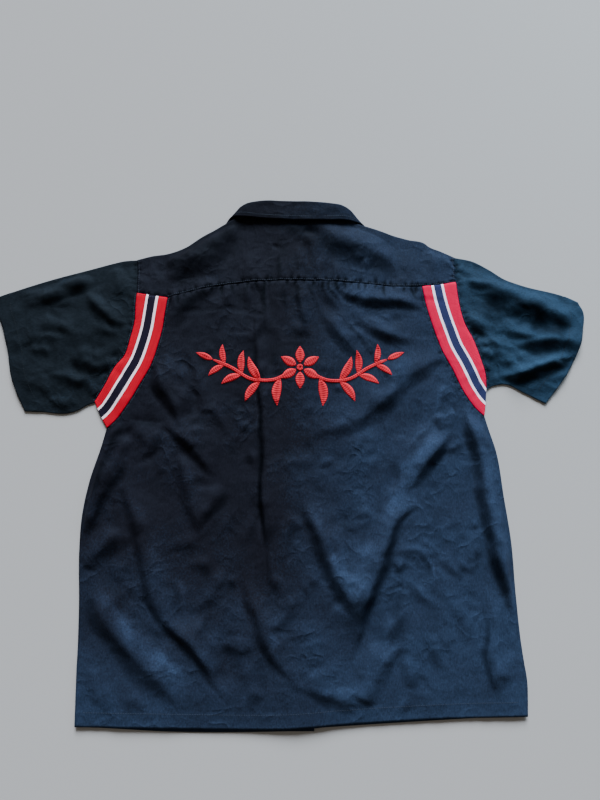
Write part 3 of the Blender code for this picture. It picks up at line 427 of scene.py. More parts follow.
def strayFolds():                     # small creases, which mostly follow the nearest fold
    draw = np.random.default_rng(strays["seed"])
    routes = [evenCurve(fold[-1], 12) for fold in upperFolds]
    spots = np.concatenate([(route[1:] + route[:-1]) / 2 for route in routes])
    runs = np.concatenate([np.diff(route, axis=0) for route in routes])
    made = []
    zones = [zone[1:] for zone in strays["zones"] for _ in range(zone[0])]
    for left, right, bottom, top in zones:
        x, y = draw.uniform(left, right), draw.uniform(bottom, top)
        nearestRun = runs[np.argmin(np.hypot(spots[:, 0] - x, spots[:, 1] - y))]
        turn = math.atan2(nearestRun[1], nearestRun[0]) + draw.normal(0, strays["turn"])
        half = draw.uniform(*strays["lengths"]) / 2
        bow = draw.uniform(-strays["bow"], strays["bow"]) * half
        along = np.array([math.cos(turn), math.sin(turn)])
        across = leftOf(along)
        middle = np.array([x, y])
        height = draw.uniform(*strays["heights"]) * draw.choice([-1, 1])
        steep, broad = draw.uniform(*strays["widths"], 2)
        made.append((height, steep, broad, strays["crisp"], strays["fade"], strays["fade"],
                     [middle - along * half, middle + across * bow, middle + along * half]))
    return made


def foldsNear(x, y, table, loose):    # each fold with the places that feel it
    x0, y0 = x, y
    if loose:                           # the routes wander a little
        x0 = x0 + wander["far"] * warpX(x, y, wander["farCell"])
        y0 = y0 + wander["far"] * warpY(x, y, wander["farCell"])
        x0 += wander["near"] * warpX(y, x, wander["nearCell"])
        y0 += wander["near"] * warpY(y, x, wander["nearCell"])
    for height, steep, broad, crisp, rise, fall, route in table:
        line = evenCurve(route, 24)
        chord, lean = line[-1] - line[0], foldStyle["lean"]
        leftIsBroad = -chord[1] * lean[0] + chord[0] * lean[1] > 0
        if steep != broad:
            steep, broad = steep * foldStyle["wide"], broad * foldStyle["wide"]
        reach = foldStyle["reach"] * max(steep, broad)
        low, high = line.min(axis=0) - reach, line.max(axis=0) + reach
        close = (x0 > low[0]) & (x0 < high[0]) & (y0 > low[1]) & (y0 < high[1])
        if not close.any():
            continue
        u, v = x0[close], y0[close]
        gap, side, share = distanceTo(u, v, line)
        past = gap * side * (1 if leftIsBroad else -1)
        size = ease(share / rise) * ease((1 - share) / fall)
        size = size * (1 + foldStyle["uneven"] * gather(u, v, foldStyle["unevenCell"]))
        taper = foldStyle["endTaper"] + (1 - foldStyle["endTaper"]) * size
        yield close, u, v, past, size, taper, height, steep, broad, crisp


def foldHeight(x, y, table, loose=True):      # the relief that all folds of a table add up to
    total = np.zeros_like(x)
    for close, _, _, past, size, taper, height, steep, broad, crisp in foldsNear(
            x, y, table, loose):
        if steep != broad:
            past = past - foldStyle["crestShift"] * steep
        total[close] += (height * foldStyle["height"] * size
                         * ridge(past / taper, steep, broad, crisp))
    return total


# painted fold light: painted shade along the steep flank and a painted highlight beyond the crest;
# the last three lines are the heights at which each kind of fold is painted fully
foldLight = {"inner": 0.9, "outer": 1.9, "lightPlace": 0.75, "lightPlaceBelow": 1.5,
        "lightWidth": 0.5, "blotch": 0.75, "blotchVary": 0.6, "blotchCell": 46.0,
        "light": 0.7, "lightVary": 0.9, "lightCell": 27.0, "patchShare": 0.72,
        "body": 19.0, "yoke": 12.0, "sleeve": 6.5,
        "shadePatch": 10.0, "highlightPatch": 12.0,
        "thin": 1.5, "stray": 3.6, "seam": 0.2}


def addFoldLight(paintedShade, paintedHighlight, x, y, table, fullAt, loose=True):     # onto both maps
    for close, u, v, past, size, taper, height, steep, broad, _ in foldsNear(
            x, y, table, loose):
        width = steep * taper * np.where(past > 0, foldLight["inner"], foldLight["outer"])
        blotch = foldLight["blotch"] + foldLight["blotchVary"] * swell(u * 2, v * 2, foldLight["blotchCell"])
        depth = np.clip(abs(height) / fullAt * blotch, 0.0, 1.0) * np.minimum(size, 1.0)
        paintedShade[close] = np.maximum(paintedShade[close], depth * np.exp(-(past / width)**2))
        crest = past / (broad * taper) - foldLight["lightPlace"]
        if height < 0:
            crest = -past / (steep * taper) - foldLight["lightPlaceBelow"]
        bright = depth * np.exp(-(crest / foldLight["lightWidth"])**2)
        bright = bright * (foldLight["light"] + foldLight["lightVary"] * warpX(u, v, foldLight["lightCell"]))
        paintedHighlight[close] = np.maximum(paintedHighlight[close], bright)


def paintFoldLight(flat):                   # 1 where folds are painted in shade, -1 where they get a painted highlight
    x, y = flat[..., 0], flat[..., 1]
    paintedShade, paintedHighlight, patchShade, spare = np.zeros((4,) + x.shape)
    for kind, table in (("body", bodyFolds), ("yoke", yokeFolds), ("sleeve", sleeveFolds),
                        ("thin", thinCreases), ("stray", strayTable)):
        addFoldLight(paintedShade, paintedHighlight, x, y, table, foldLight[kind])
    addFoldLight(paintedShade, paintedHighlight, x, y, seamTicks, foldLight["seam"], False)
    addFoldLight(patchShade, spare, x, y, shadePatches, foldLight["shadePatch"])
    addFoldLight(paintedHighlight, spare, x, y, highlightPatches, foldLight["highlightPatch"])
    paintedShade = np.maximum(paintedShade, patchShade * foldLight["patchShare"])
    return np.clip(paintedShade - paintedHighlight * (1 - paintedShade), -1.0, 1.0)


# short pulls that run from a seam into the cloth: line, side (1 left, -1 right), pitch,
# shortest, longest, depth
pulledSeams = [("yokeSeam", 1, 11.5, 6, 16, 1.5), ("yokeSeam", -1, 11.0, 6, 34, 0.9),
               ("bandInLeft", -1, 10.0, 4, 14, 0.9), ("bandInRight", 1, 10.0, 4, 14, 0.9),
               ("bandOutLeft", 1, 9.0, 5, 18, 1.1), ("bandOutRight", -1, 9.0, 5, 18, 1.0),
               ("armYokeLeft", 1, 8.0, 6, 20, 1.2), ("armYokeLeft", -1, 9.0, 4, 12, 1.0),
               ("armYokeRight", 1, 9.0, 4, 12, 1.0), ("armYokeRight", -1, 8.0, 6, 20, 1.2),
               ("bandTopLeft", 1, 8.0, 4, 9, 1.0), ("bandTopRight", 1, 8.0, 4, 9, 1.0)]
pulls = {"seed": 8, "width": 2.9, "tilt": 0.22, "bend": 0.4, "depths": (0.5, 1.3),
         "spacing": (0.55, 1.5), "crisp": 0.5, "rise": 0.02, "fall": 0.85, "endGap": 1.0,
         "ditch": 0.6, "ditchHalf": 2.4}


def seamPulls():
    draw = np.random.default_rng(pulls["seed"])
    made = []
    for name, turn, pitch, shortest, longest, depth in pulledSeams:
        line = edge(name, 48)
        run, along = runOf(line), unit(np.gradient(line, axis=0))
        at = draw.uniform(pulls["endGap"], pitch)
        while at < run[-1] - pulls["endGap"]:
            spot, ahead = placesAt(at, run, line), placesAt(at, run, along)
            away = leftOf(ahead) * turn
            reach = draw.uniform(shortest, longest)
            lean = ahead * draw.normal(0, pulls["tilt"]) * reach
            made.append((-depth * draw.uniform(*pulls["depths"]), pulls["width"],
                         pulls["width"], pulls["crisp"], pulls["rise"], pulls["fall"],
                         [spot, spot + away * reach * 0.5 + lean * pulls["bend"],
                          spot + away * reach + lean]))
            at += pitch * draw.uniform(*pulls["spacing"])
    return made


def seamRelief(x, y):
    total = foldHeight(x, y, seamTicks, False)
    for name in sorted({row[0] for row in pulledSeams}):
        gap = distanceTo(x, y, edge(name, 24))[0]
        total -= pulls["ditch"] * np.exp(-(gap / pulls["ditchHalf"])**2)
    return total


seamTicks, strayTable = seamPulls(), strayFolds()
print("folds set:", len(upperFolds), "by hand and", len(strayTable), "small ones")


def centreX(y):
    return opening["xAtHem"] - opening["lean"] * (y - opening["hemY"])


def inside(x, y, outline):
    hit = np.zeros(x.shape, dtype=bool)
    for (x0, y0), (x1, y1) in zip(outline, np.roll(outline, -1, axis=0)):
        spans = (y0 > y) != (y1 > y)
        hit ^= spans & (x < (x1 - x0) * (y - y0) / (y1 - y0 or 1e-9) + x0)
    return hit


# collar, station by station from the left front end round the back to the right one:
# roll line x, y, z, place along the neck seam, free edge x, y, z
collarStations = [
    ((5.0, 284, 1.45), 0.00, (-46, 226, 0.6)),
    ((-16, 290, 1.45), 1.10, (-64, 243, 0.6)),
    ((-40, 307, 1.45), 1.50, (-82, 272, 0.6)),
    ((-60, 332, 1.45), 1.85, (-97, 304, 0.6)),
    ((-69, 352, 1.45), 2.30, (-102, 330, 0.6)),
    ((-74, 362, 1.80), 2.90, (-100, 345, 0.6)),
    ((-78, 367, 5.00), 3.40, (-95, 354, 1.8)),
    ((-75, 371, 10.0), 4.00, (-87, 358, 6.0)),
    ((-68, 374, 14.0), 4.10, (-75, 356, 12.0)),
    ((-50, 377.3, 16.2), 4.24, (-48, 352, 14.2)),
    ((10, 377, 17.0), 4.52, (10, 348.5, 14.6)),
    ((60, 375, 16.2), 4.78, (61, 348.5, 14.2)),
    ((83, 371, 14.0), 4.90, (90, 349.5, 11.8)),
    ((93, 366, 9.50), 5.00, (103, 348.5, 6.0)),
    ((97, 361, 4.60), 5.60, (113, 346.5, 1.8)),
    ((95, 356, 1.50), 6.10, (119, 341, 0.6)),
    ((88, 343, 1.45), 6.70, (121, 322, 0.6)),
    ((77, 325, 1.45), 7.15, (114, 296, 0.6)),
    ((57, 303, 1.45), 7.50, (97, 265, 0.6)),
    ((31, 289, 1.45), 7.90, (79, 238, 0.6)),
    ((8.5, 284, 1.45), 9.00, (60, 222, 0.6)),
]
leafOutlines = [np.array([row[2][:2] for row in leaf] + [row[0][:2] for row in leaf][::-1], float)
                for leaf in (collarStations[:6], collarStations[-6:])]


def lowerRise(x, y):                  # what the collar's leaves and the buttons lift
    pitch = layers["wall"] + layers["gap"]
    lift = np.zeros_like(x)
    for outline in leafOutlines:
        gap = distanceTo(x, y, np.concatenate([outline, outline[:1]]))[0]
        gap[inside(x, y, outline)] = 0.0
        lift = np.maximum(lift, pitch * ease(1 - (gap - leafRise["level"]) / leafRise["fall"]))
    lastY = opening["topButtonY"] + opening["buttonStep"] * (opening["buttons"] - 1)
    pastEnd = np.maximum(y - opening["topButtonY"], lastY - y)
    across = ease(1 - (np.abs(x - centreX(y)) - opening["levelHalf"]) / opening["fall"])
    along = ease(1 - (pastEnd - opening["endLevel"]) / opening["endFall"])
    return np.maximum(lift, (opening["buttonThick"] + layers["gap"]) * across * along)


def lowerMiddle(x, y):
    return layers["wall"] / 2 + lowerRise(x, y)


def overlapMiddle(x, y):              # the right front lies over the left one
    past = x - (centreX(y) + opening["half"] + opening["clear"])
    step = layers["wall"] + opening["gap"]
    return lowerMiddle(x, y) + step * ease(1 - past / opening["stepRun"])


def frontsTop(x, y):
    short = centreX(y) - opening["half"] - opening["clear"] - x
    over = ease(1 - short / opening["stepRun"])
    return lowerMiddle(x, y) * (1 - over) + overlapMiddle(x, y) * over + layers["wall"] / 2


bandMiddles = [(edge("bandIn" + side, 24) + edge("bandOut" + side, 24)) / 2
               for side in ("Left", "Right")]
upper = {
    "bandShare": 0.35, "bandHalf": 18.0, "bandFall": 20.0,      # the knit bands lie smoother
    "swell": 1.2, "swellCell": 46.0, "cross": 0.35, "crossCell": 19.0, "crackle": 0.45,
    "bridge": 3.0, "bridgeWidth": 48.0,                         # over the placket
    "seamRun": 6.0,
}


def upperMiddle(x, y):                # middle of the upper layer, with all its folds
    closed, opened = nearest(x, y, closedEdges), nearest(x, y, openEdges)
    atOpen = layers["openShare"] + (1 - layers["openShare"]) * ease(opened / layers["openRun"])
    pastBand = (nearest(x, y, bandMiddles) - upper["bandHalf"]) / upper["bandFall"]
    quiet = ease(closed / layers["foldRun"])
    quiet *= upper["bandShare"] + (1 - upper["bandShare"]) * ease(pastBand)
    relief = foldHeight(x, y, upperFolds + thinCreases + strayTable)
    relief += (upper["swell"] * swell(x, y, upper["swellCell"])
               + upper["cross"] * swell(y * 0.6, x * 1.2, upper["crossCell"]))
    relief += upper["crackle"] * crackle(x, y)
    air = layers["loft"] * ease(closed / layers["loftRun"]) + relief * quiet
    base = layers["wall"] * 1.5 + layers["gap"]
    resting = base + (frontsTop(x, y) - layers["wall"]) * layers["restMargin"]
    bridge = upper["bridge"] * np.exp(-((x - centreX(y)) / upper["bridgeWidth"])**2)
    return (np.maximum(resting, base + air * atOpen + bridge)
            + seamRelief(x, y) * ease(closed / upper["seamRun"]))


# sheets: points in the plan are raised onto a layer, and Solidify gives them their wall
walls = {"single": 0.8, "hem": 1.5, "hemWidth": 20.0, "hemStep": 1.5, "edgeRows": 7}


def raise3(flat, height):
    return np.concatenate([flat, height(flat[..., 0], flat[..., 1])[..., None]], axis=-1)


def setUv(mesh, name, places):        # one place for each point
    loops = np.zeros(len(mesh.loops), dtype=np.int32)
    mesh.loops.foreach_get("vertex_index", loops)
    layer = mesh.uv_layers.new(name=name)
    layer.data.foreach_set("uv", places[loops].astype(np.float32).ravel())


def sheetObject(name, points, uv, wall, weights=None, ring=False, keep=None, shade=None):
    rows, columns = points.shape[:2]
    index = np.arange(rows * columns).reshape(rows, columns)
    after = np.roll(index, -1, axis=1)
    quads = np.stack([index[:-1], after[:-1], after[1:], index[1:]], axis=-1)
    if not ring:
        quads = quads[:, :-1]
    if keep is not None:
        quads = quads[keep]
    mesh = bpy.data.meshes.new(name)
    mesh.from_pydata((points.reshape(-1, 3) * mm).tolist(), [], quads.reshape(-1, 4).tolist())
    setUv(mesh, "cut", uv.reshape(-1, 2))
    # the fold map goes in as an attribute: painted fold shade where it is above 0, painted
    # highlight where it is below 0
    if shade is not None:
        paintedFoldLight = mesh.attributes.new("paintedFoldLight", "FLOAT", "POINT")
        paintedFoldLight.data.foreach_set("value", shade.ravel().astype(np.float32))
    piece = bpy.data.objects.new(name, mesh)
    bpy.context.collection.objects.link(piece)
    group = piece.vertex_groups.new(name="thick")
    values = np.zeros(rows * columns) if weights is None else np.round(weights.ravel(), 2)
    for level in np.unique(values):
        group.add(np.nonzero(values == level)[0].tolist(), float(level), "REPLACE")
    loose = bmesh.new()
    loose.from_mesh(mesh)
    bmesh.ops.delete(loose, geom=[v for v in loose.verts if not v.link_faces], context="VERTS")
    loose.to_mesh(mesh)
    loose.free()
    thin, thick = wall
    solid = piece.modifiers.new("wall", "SOLIDIFY")
    solid.thickness = thick * mm
    solid.offset = 0.0
    solid.vertex_group = "thick"
    solid.thickness_vertex_group = thin / thick
    bpy.ops.object.select_all(action="DESELECT")
    piece.select_set(True)
    bpy.context.view_layer.objects.active = piece
    bpy.ops.object.modifier_apply(modifier="wall")
    piece.data.shade_smooth()
    return piece


def metricUv(flat):                   # UV in metres, moved into the first tile
    return flat[..., :2] * mm + 0.5


def outwardOf(line, centre):
    across = unit(leftOf(np.gradient(line, axis=0)))
    away = line - np.array(centre)
    return across * np.sign(np.sum(across * away, axis=1, keepdims=True))


def foldArcs(upperEdge, lowerEdge, outward):      # cloth that turns round an edge
    radius = (upperEdge[:, 2] - lowerEdge[:, 2]) / 2
    rows = []
    for angle in np.linspace(0, math.pi, walls["edgeRows"] + 2)[1:-1]:
        out = math.sin(angle) * radius
        height = lowerEdge[:, 2] + radius * (1 + math.cos(angle))
        rows.append(np.column_stack([upperEdge[:, :2] + outward * out[:, None], height]))
    return np.stack(rows)


def hemWeight(flat, name, width):     # 1 within a turned hem, 0 past its stitch line
    gap = distanceTo(flat[..., 0], flat[..., 1], edge(name, 24))[0]
    return ease(1 - (gap - width) / walls["hemStep"])


back = {"across": 200, "sideSteps": 142, "bandSteps": 78}


def makeBack():
    left, right = (chain(edge("side" + side, back["sideSteps"]),
                         edge("bandIn" + side, back["bandSteps"])) for side in ("Left", "Right"))
    flat = patch(edge("hem", back["across"]), edge("yokeSeam", back["across"]), left, right)
    return sheetObject("backBody", raise3(flat, upperMiddle), metricUv(flat),
                       (walls["single"], walls["hem"]),
                       hemWeight(flat, "hem", walls["hemWidth"]), shade=paintFoldLight(flat))


band = {"across": 36, "along": 130, "rise": 0.35, "width": 50.8, "cutLength": 0.24, "wall": 1.2}


def makeBand(side):
    inner, outer = "bandIn" + side, "bandOut" + side
    first, last = (outer, inner) if side == "Left" else (inner, outer)
    flat = patch(edge("bandEnd" + side, band["across"]), edge("bandTop" + side, band["across"]),
                 edge(first, band["along"]), edge(last, band["along"]))
    points = raise3(flat, upperMiddle)
    points[..., 2] += band["rise"]
    gap, _, share = distanceTo(flat[..., 0], flat[..., 1], edge(inner, 48))
    uv = np.stack([gap / band["width"], share * band["cutLength"]], axis=-1)
    return sheetObject("band" + side + "Knit", points, uv, (band["wall"], band["wall"]))


yoke = {"bandSteps": 30, "seamSteps": 230, "shoulderSteps": 90, "neckSteps": 110, "armSteps": 64,
        "rise": 0.5, "turnRows": 6, "seamGap": 0.25}


def makeYoke():
    ends = yoke["bandSteps"]
    bottom = chain(edge("bandTopLeft", ends), edge("yokeSeam", yoke["seamSteps"]),
                   edge("bandTopRight", ends))
    shoulder = yoke["shoulderSteps"]
    top = chain(edge("shoulderLeft", shoulder), edge("neckBack", yoke["neckSteps"]),
                edge("shoulderRight", shoulder)[::-1])
    flat = patch(bottom, top, edge("armYokeLeft", yoke["armSteps"]),
                 edge("armYokeRight", yoke["armSteps"]))
    over = raise3(flat, upperMiddle)
    over[..., 2] += yoke["rise"]
    fold = flat[-1]
    outward = outwardOf(fold, bodyMiddle)
    turned = [raise3(fold - outward * depth, lowerMiddle)
              for depth in np.linspace(0, shoulderTurn, yoke["turnRows"] + 1)]
    rows = np.concatenate([over, foldArcs(over[-1], turned[0], outward), np.stack(turned)])
    keep = np.ones((len(rows) - 1, len(fold) - 1), dtype=bool)
    keep[len(over) - 1:, shoulder:-shoulder] = False
    shade = np.zeros(rows.shape[:2])
    shade[:len(over)] = paintFoldLight(flat)
    return sheetObject("backYoke", rows, metricUv(rows), (walls["single"], walls["single"]),
                       keep=keep, shade=shade)


def shoulderSeam(side, steps):
    line = edge("shoulder" + side, steps)
    return line - outwardOf(line, bodyMiddle) * (shoulderTurn + yoke["seamGap"])


sleeve = {"along": 76, "cuffSteps": 80, "armSteps": 20, "bandSteps": 60, "turnSteps": 6,
          "frontSteps": 74, "hem": 22.0, "underUv": 0.3,
          "middles": {"Left": (-320, 160), "Right": (350, 160)}}


def makeSleeve(side):
    middle = sleeve["middles"][side]
    seamStart = shoulderSeam(side, 50)[0]
    armUp = chain(edge("armYoke" + side, sleeve["armSteps"])[::-1],
                  edge("bandOut" + side, sleeve["bandSteps"])[::-1])
    turn = np.linspace(plan["shoulder" + side][0], seamStart, sleeve["turnSteps"] + 1)
    front = np.array([seamStart, *plan["armFront" + side][::-1]])
    armLow = chain(turn, evenCurve(front, sleeve["frontSteps"]))
    top, under = (edge(name + side, sleeve["along"]) for name in ("sleeveTop", "sleeveUnder"))
    cuff = edge("cuff" + side, sleeve["cuffSteps"])
    upperFlat, lowerFlat = patch(top, under, armUp, cuff), patch(top, under, armLow, cuff)
    over, below = raise3(upperFlat, upperMiddle), raise3(lowerFlat, lowerMiddle)
    underArc, topArc = (foldArcs(over[row], below[row], outwardOf(lowerFlat[row], middle))
                        for row in (-1, 0))
    around = np.concatenate([over, underArc, below[::-1], topArc[::-1]]).transpose(1, 0, 2)
    uv = metricUv(around)
    uv[:, len(over) + walls["edgeRows"]:, 1] += sleeve["underUv"]
    shade = np.zeros(around.shape[:2])
    shade[:, :len(over)] = paintFoldLight(upperFlat).T
    return sheetObject("sleeve" + side + "Cloth", around, uv, (walls["single"], walls["hem"]),
                       hemWeight(around, "cuff" + side, sleeve["hem"]), ring=True, shade=shade)


front = {"shoulderSteps": 40, "neckSteps": 34, "ventSteps": 28, "sideSteps": 74, "bandSteps": 6,
         "armSteps": 40, "stripSteps": 14, "hemWall": 1.1}


def makeFront(side, sign, height):
    shoulder = shoulderSeam(side, front["shoulderSteps"])
    bandEnd = plan["bandEnd" + side][::-1] if side == "Left" else plan["bandEnd" + side]
    armhole = np.array([shoulder[0], *plan["armFront" + side][::-1]])[::-1]
    outer = chain(edge("vent" + side, front["ventSteps"]),
                  evenCurve(plan["side" + side][3:], front["sideSteps"]),
                  evenCurve(bandEnd, front["bandSteps"]), evenCurve(armhole, front["armSteps"]))
    top = chain(shoulder, edge("neckFront" + side, front["neckSteps"]))
    hem = edge("hemFront" + side, len(top) - 1)
    inner = np.linspace(hem[-1], top[-1], len(outer))
    y = inner[:, 1]
    offsets = np.linspace(-opening["half"], opening["half"], front["stripSteps"] + 1)[1:] * sign
    strip = np.stack([np.column_stack([centreX(y) + offset, y]) for offset in offsets], axis=1)
    flat = np.concatenate([patch(hem, top, outer, inner), strip], axis=1)
    return sheetObject("front" + side + "Cloth", raise3(flat, height), metricUv(flat),
                       (walls["single"], front["hemWall"]),
                       hemWeight(flat, "hemFront" + side, walls["hemWidth"]))


def neckRun(flat, lower, first, last):        # a run of the neck seam, from layer to layer
    low, high = lower(flat[:, 0], flat[:, 1]), upperMiddle(flat[:, 0], flat[:, 1])
    return np.column_stack([flat, low + np.linspace(first, last, len(flat)) * (high - low)])


def neckSeam(places, steps=24):
    spots = [neckRun(edge("placketTopLeft", steps), lowerMiddle, 0, 0),
             neckRun(edge("neckFrontLeft", steps)[::-1], lowerMiddle, 0, 0),
             neckRun(edge("neckSideLeft", steps), lowerMiddle, 0, 0)]
    spots.append(neckRun(np.repeat(spots[-1][-1:, :2], steps + 1, axis=0), lowerMiddle, 0, 1))
    spots.append(neckRun(edge("neckBackOuter", steps), lowerMiddle, 1, 1))
    spots.append(neckRun(np.repeat(spots[-1][-1:, :2], steps + 1, axis=0), overlapMiddle, 1, 0))
    spots += [neckRun(edge("neckSideRight", steps)[::-1], overlapMiddle, 0, 0),
              neckRun(edge("neckFrontRight", steps), overlapMiddle, 0, 0),
              neckRun(edge("placketTopRight", steps)[::-1], overlapMiddle, 0, 0)]
    ring = chain(*spots)
    at = np.clip(places, 0.0, len(spots)) * steps
    return placesAt(at, np.arange(len(ring)), ring)


collar = {"steps": 8, "standLines": 8, "rollLines": 9, "fallLines": 12, "rollRadius": 1.1,
          "wall": 1.5, "freeLift": 0.15, "tuck": -0.9, "clear": 0.5,   # the stand under the yoke
          "tuckMiddle": 4.5, "tuckHalf": 0.7, "wave": 0.7, "waveCell": 19.0, "waveFrom": 5.0,
          "waveRise": 6.0, "stitchIn": 6.0, "stitchPitch": 3.3}
collarStitch = []


def sewCollar(roll, free, along, side):      # the stitch line beside the free edge
    towardsRoll = roll - free
    width = np.linalg.norm(towardsRoll, axis=1, keepdims=True)
    line = free + towardsRoll * np.minimum(collar["stitchIn"] / width, 0.4)
    normals = np.cross(towardsRoll / width, along)
    normals = unit(normals * np.sign(np.sum(normals * side, axis=1, keepdims=True)))
    both = np.concatenate([line, normals], axis=1)[2:-2]
    run = runOf(both[:, :3])
    spots = placesAt(np.arange(2.0, run[-1], collar["stitchPitch"]), run, both)
    collarStitch.extend([spots[:, :3] + spots[:, 3:] * collar["wall"] / 2, spots[:, 3:]])


def makeCollar():
    table = np.array([[*roll, place, *free] for roll, place, free in collarStations])
    knots = np.arange(len(table))
    fine = np.linspace(0, knots[-1], collar["steps"] * knots[-1] + 1)
    path = curvePoints(table, np.interp(fine, knots, shareOf(table)))
    roll, free = path[:, 0:3], path[:, 4:7]
    radius = collar["rollRadius"]
    roll[:, 2] = np.maximum(roll[:, 2], layers["wall"] / 2 + radius)
    free[:, 2] = np.maximum(free[:, 2], layers["wall"] / 2 + collar["freeLift"])
    seam = neckSeam(path[:, 3])
    tucked = np.abs(path[:, 3:4] - collar["tuckMiddle"]) < collar["tuckHalf"]
    seam[:, :2] += unit((roll - seam)[:, :2]) * np.where(tucked, collar["tuck"], collar["clear"])
    along = unit(np.gradient(roll, axis=0))
    up = roll - (seam + free) / 2
    up = unit(up - along * np.sum(up * along, axis=1, keepdims=True))
    side = np.cross(along, up)
    centre = roll - up * radius
    innerTop, outerTop = centre - side * radius, centre + side * radius
    lines = [seam + (innerTop - seam) * share
             for share in np.linspace(0, 1, collar["standLines"] + 1)[:-1]]
    lines += [centre + (side * math.sin(angle) + up * math.cos(angle)) * radius
              for angle in np.radians(np.linspace(-90, 90, collar["rollLines"]))]
    lines += [outerTop + (free - outerTop) * share
              for share in np.linspace(0, 1, collar["fallLines"] + 1)[1:]]
    points = np.stack(lines, axis=1)
    x, y, z = points[..., 0], points[..., 1], points[..., 2]
    waving = ease((z - collar["waveFrom"]) / collar["waveRise"])
    points[..., 2] += collar["wave"] * (waving * swell(x, y * 2, collar["waveCell"]))
    sewCollar(outerTop, free, along, side)
    return sheetObject("collarCloth", points, metricUv(points), (collar["wall"], collar["wall"]))


# looks: the nodes that several materials share come first
def newGroup(name, inputs, outputs):
    group = bpy.data.node_groups.new(name, "ShaderNodeTree")
    for label, kind, value in inputs:
        made = group.interface.new_socket(label, in_out="INPUT", socket_type=kind)
        if value is not None:
            made.default_value = value
    for label, kind in outputs:
        group.interface.new_socket(label, in_out="OUTPUT", socket_type=kind)
    return group, group.nodes.new("NodeGroupInput"), group.nodes.new("NodeGroupOutput")


def newLook(name):
    made = bpy.data.materials.new(name)
    made.use_nodes = True
    return made, made.node_tree, made.node_tree.nodes["Principled BSDF"]


def setInputs(tree, node, values):    # sockets are linked, numbers and colours are set
    for label, value in values.items():
        if isinstance(value, bpy.types.NodeSocket):
            tree.links.new(value, node.inputs[label])
        else:
            node.inputs[label].default_value = value


def addNode(tree, kind, inputs, **settings):
    made = tree.nodes.new("ShaderNode" + kind)
    for key, value in settings.items():
        setattr(made, key, value)
    setInputs(tree, made, inputs)
    return made


def addMath(tree, operation, *values):
    return addNode(tree, "Math", dict(enumerate(values)), operation=operation).outputs[0]


def plus(tree, first, second):
    return addMath(tree, "ADD", first, second)


def minus(tree, first, second):
    return addMath(tree, "SUBTRACT", first, second)


def times(tree, first, second):
    return addMath(tree, "MULTIPLY", first, second)


def atLeast(tree, first, second):
    return addMath(tree, "MAXIMUM", first, second)


def addNoise(tree, vector, scale, detail, distortion=0.0):
    return addNode(tree, "TexNoise", {"Vector": vector, "Scale": scale, "Detail": detail,
                                      "Distortion": distortion}).outputs["Fac"]


def addMix(tree, factor, first, second):
    return addNode(tree, "Mix", {"Factor": factor, "A": first, "B": second},
                   data_type="RGBA").outputs["Result"]


def addBump(tree, height, strength, distance):
    return addNode(tree, "Bump", {"Strength": strength, "Distance": distance,
                                  "Height": height}).outputs["Normal"]


weave = {
    "threads": 1900.0, "rough": 0.62, "roughVary": 0.12, "weaveScale": 0.35,
    "dents": (90.0, 4.0), "slubs": (420.0, 3.0), "dye": (14.0, 3.0),       # scale, detail
    # painted light: paler and bluer to the right and towards the hem, darker at the top
    "paleFrom": -0.05, "paleTo": 0.12, "palest": 0.53, "darkest": -0.05,   # from left to right
    "rightFrom": 0.08, "right": 1.6, "below": 4.0, "belowTilt": 3.0, "above": -0.3,
    # dye variation, then the painted fold shade and highlight
    "dyeVary": 1.6, "paintedHighlight": 0.3, "highlightGain": 0.7, "shadePower": 1.3, "shadeLoss": 0.86,
    "mottle": (620.0, 3.0), "warpStretch": (1.0, 0.35, 1.0), "tint": 0.45, "tintVary": 1.1,
    "creaseFrom": 0.42, "creases": 7.0, "threadHeight": 0.12, "slubHeight": 0.3,
    "mottleHeight": 0.25,
}


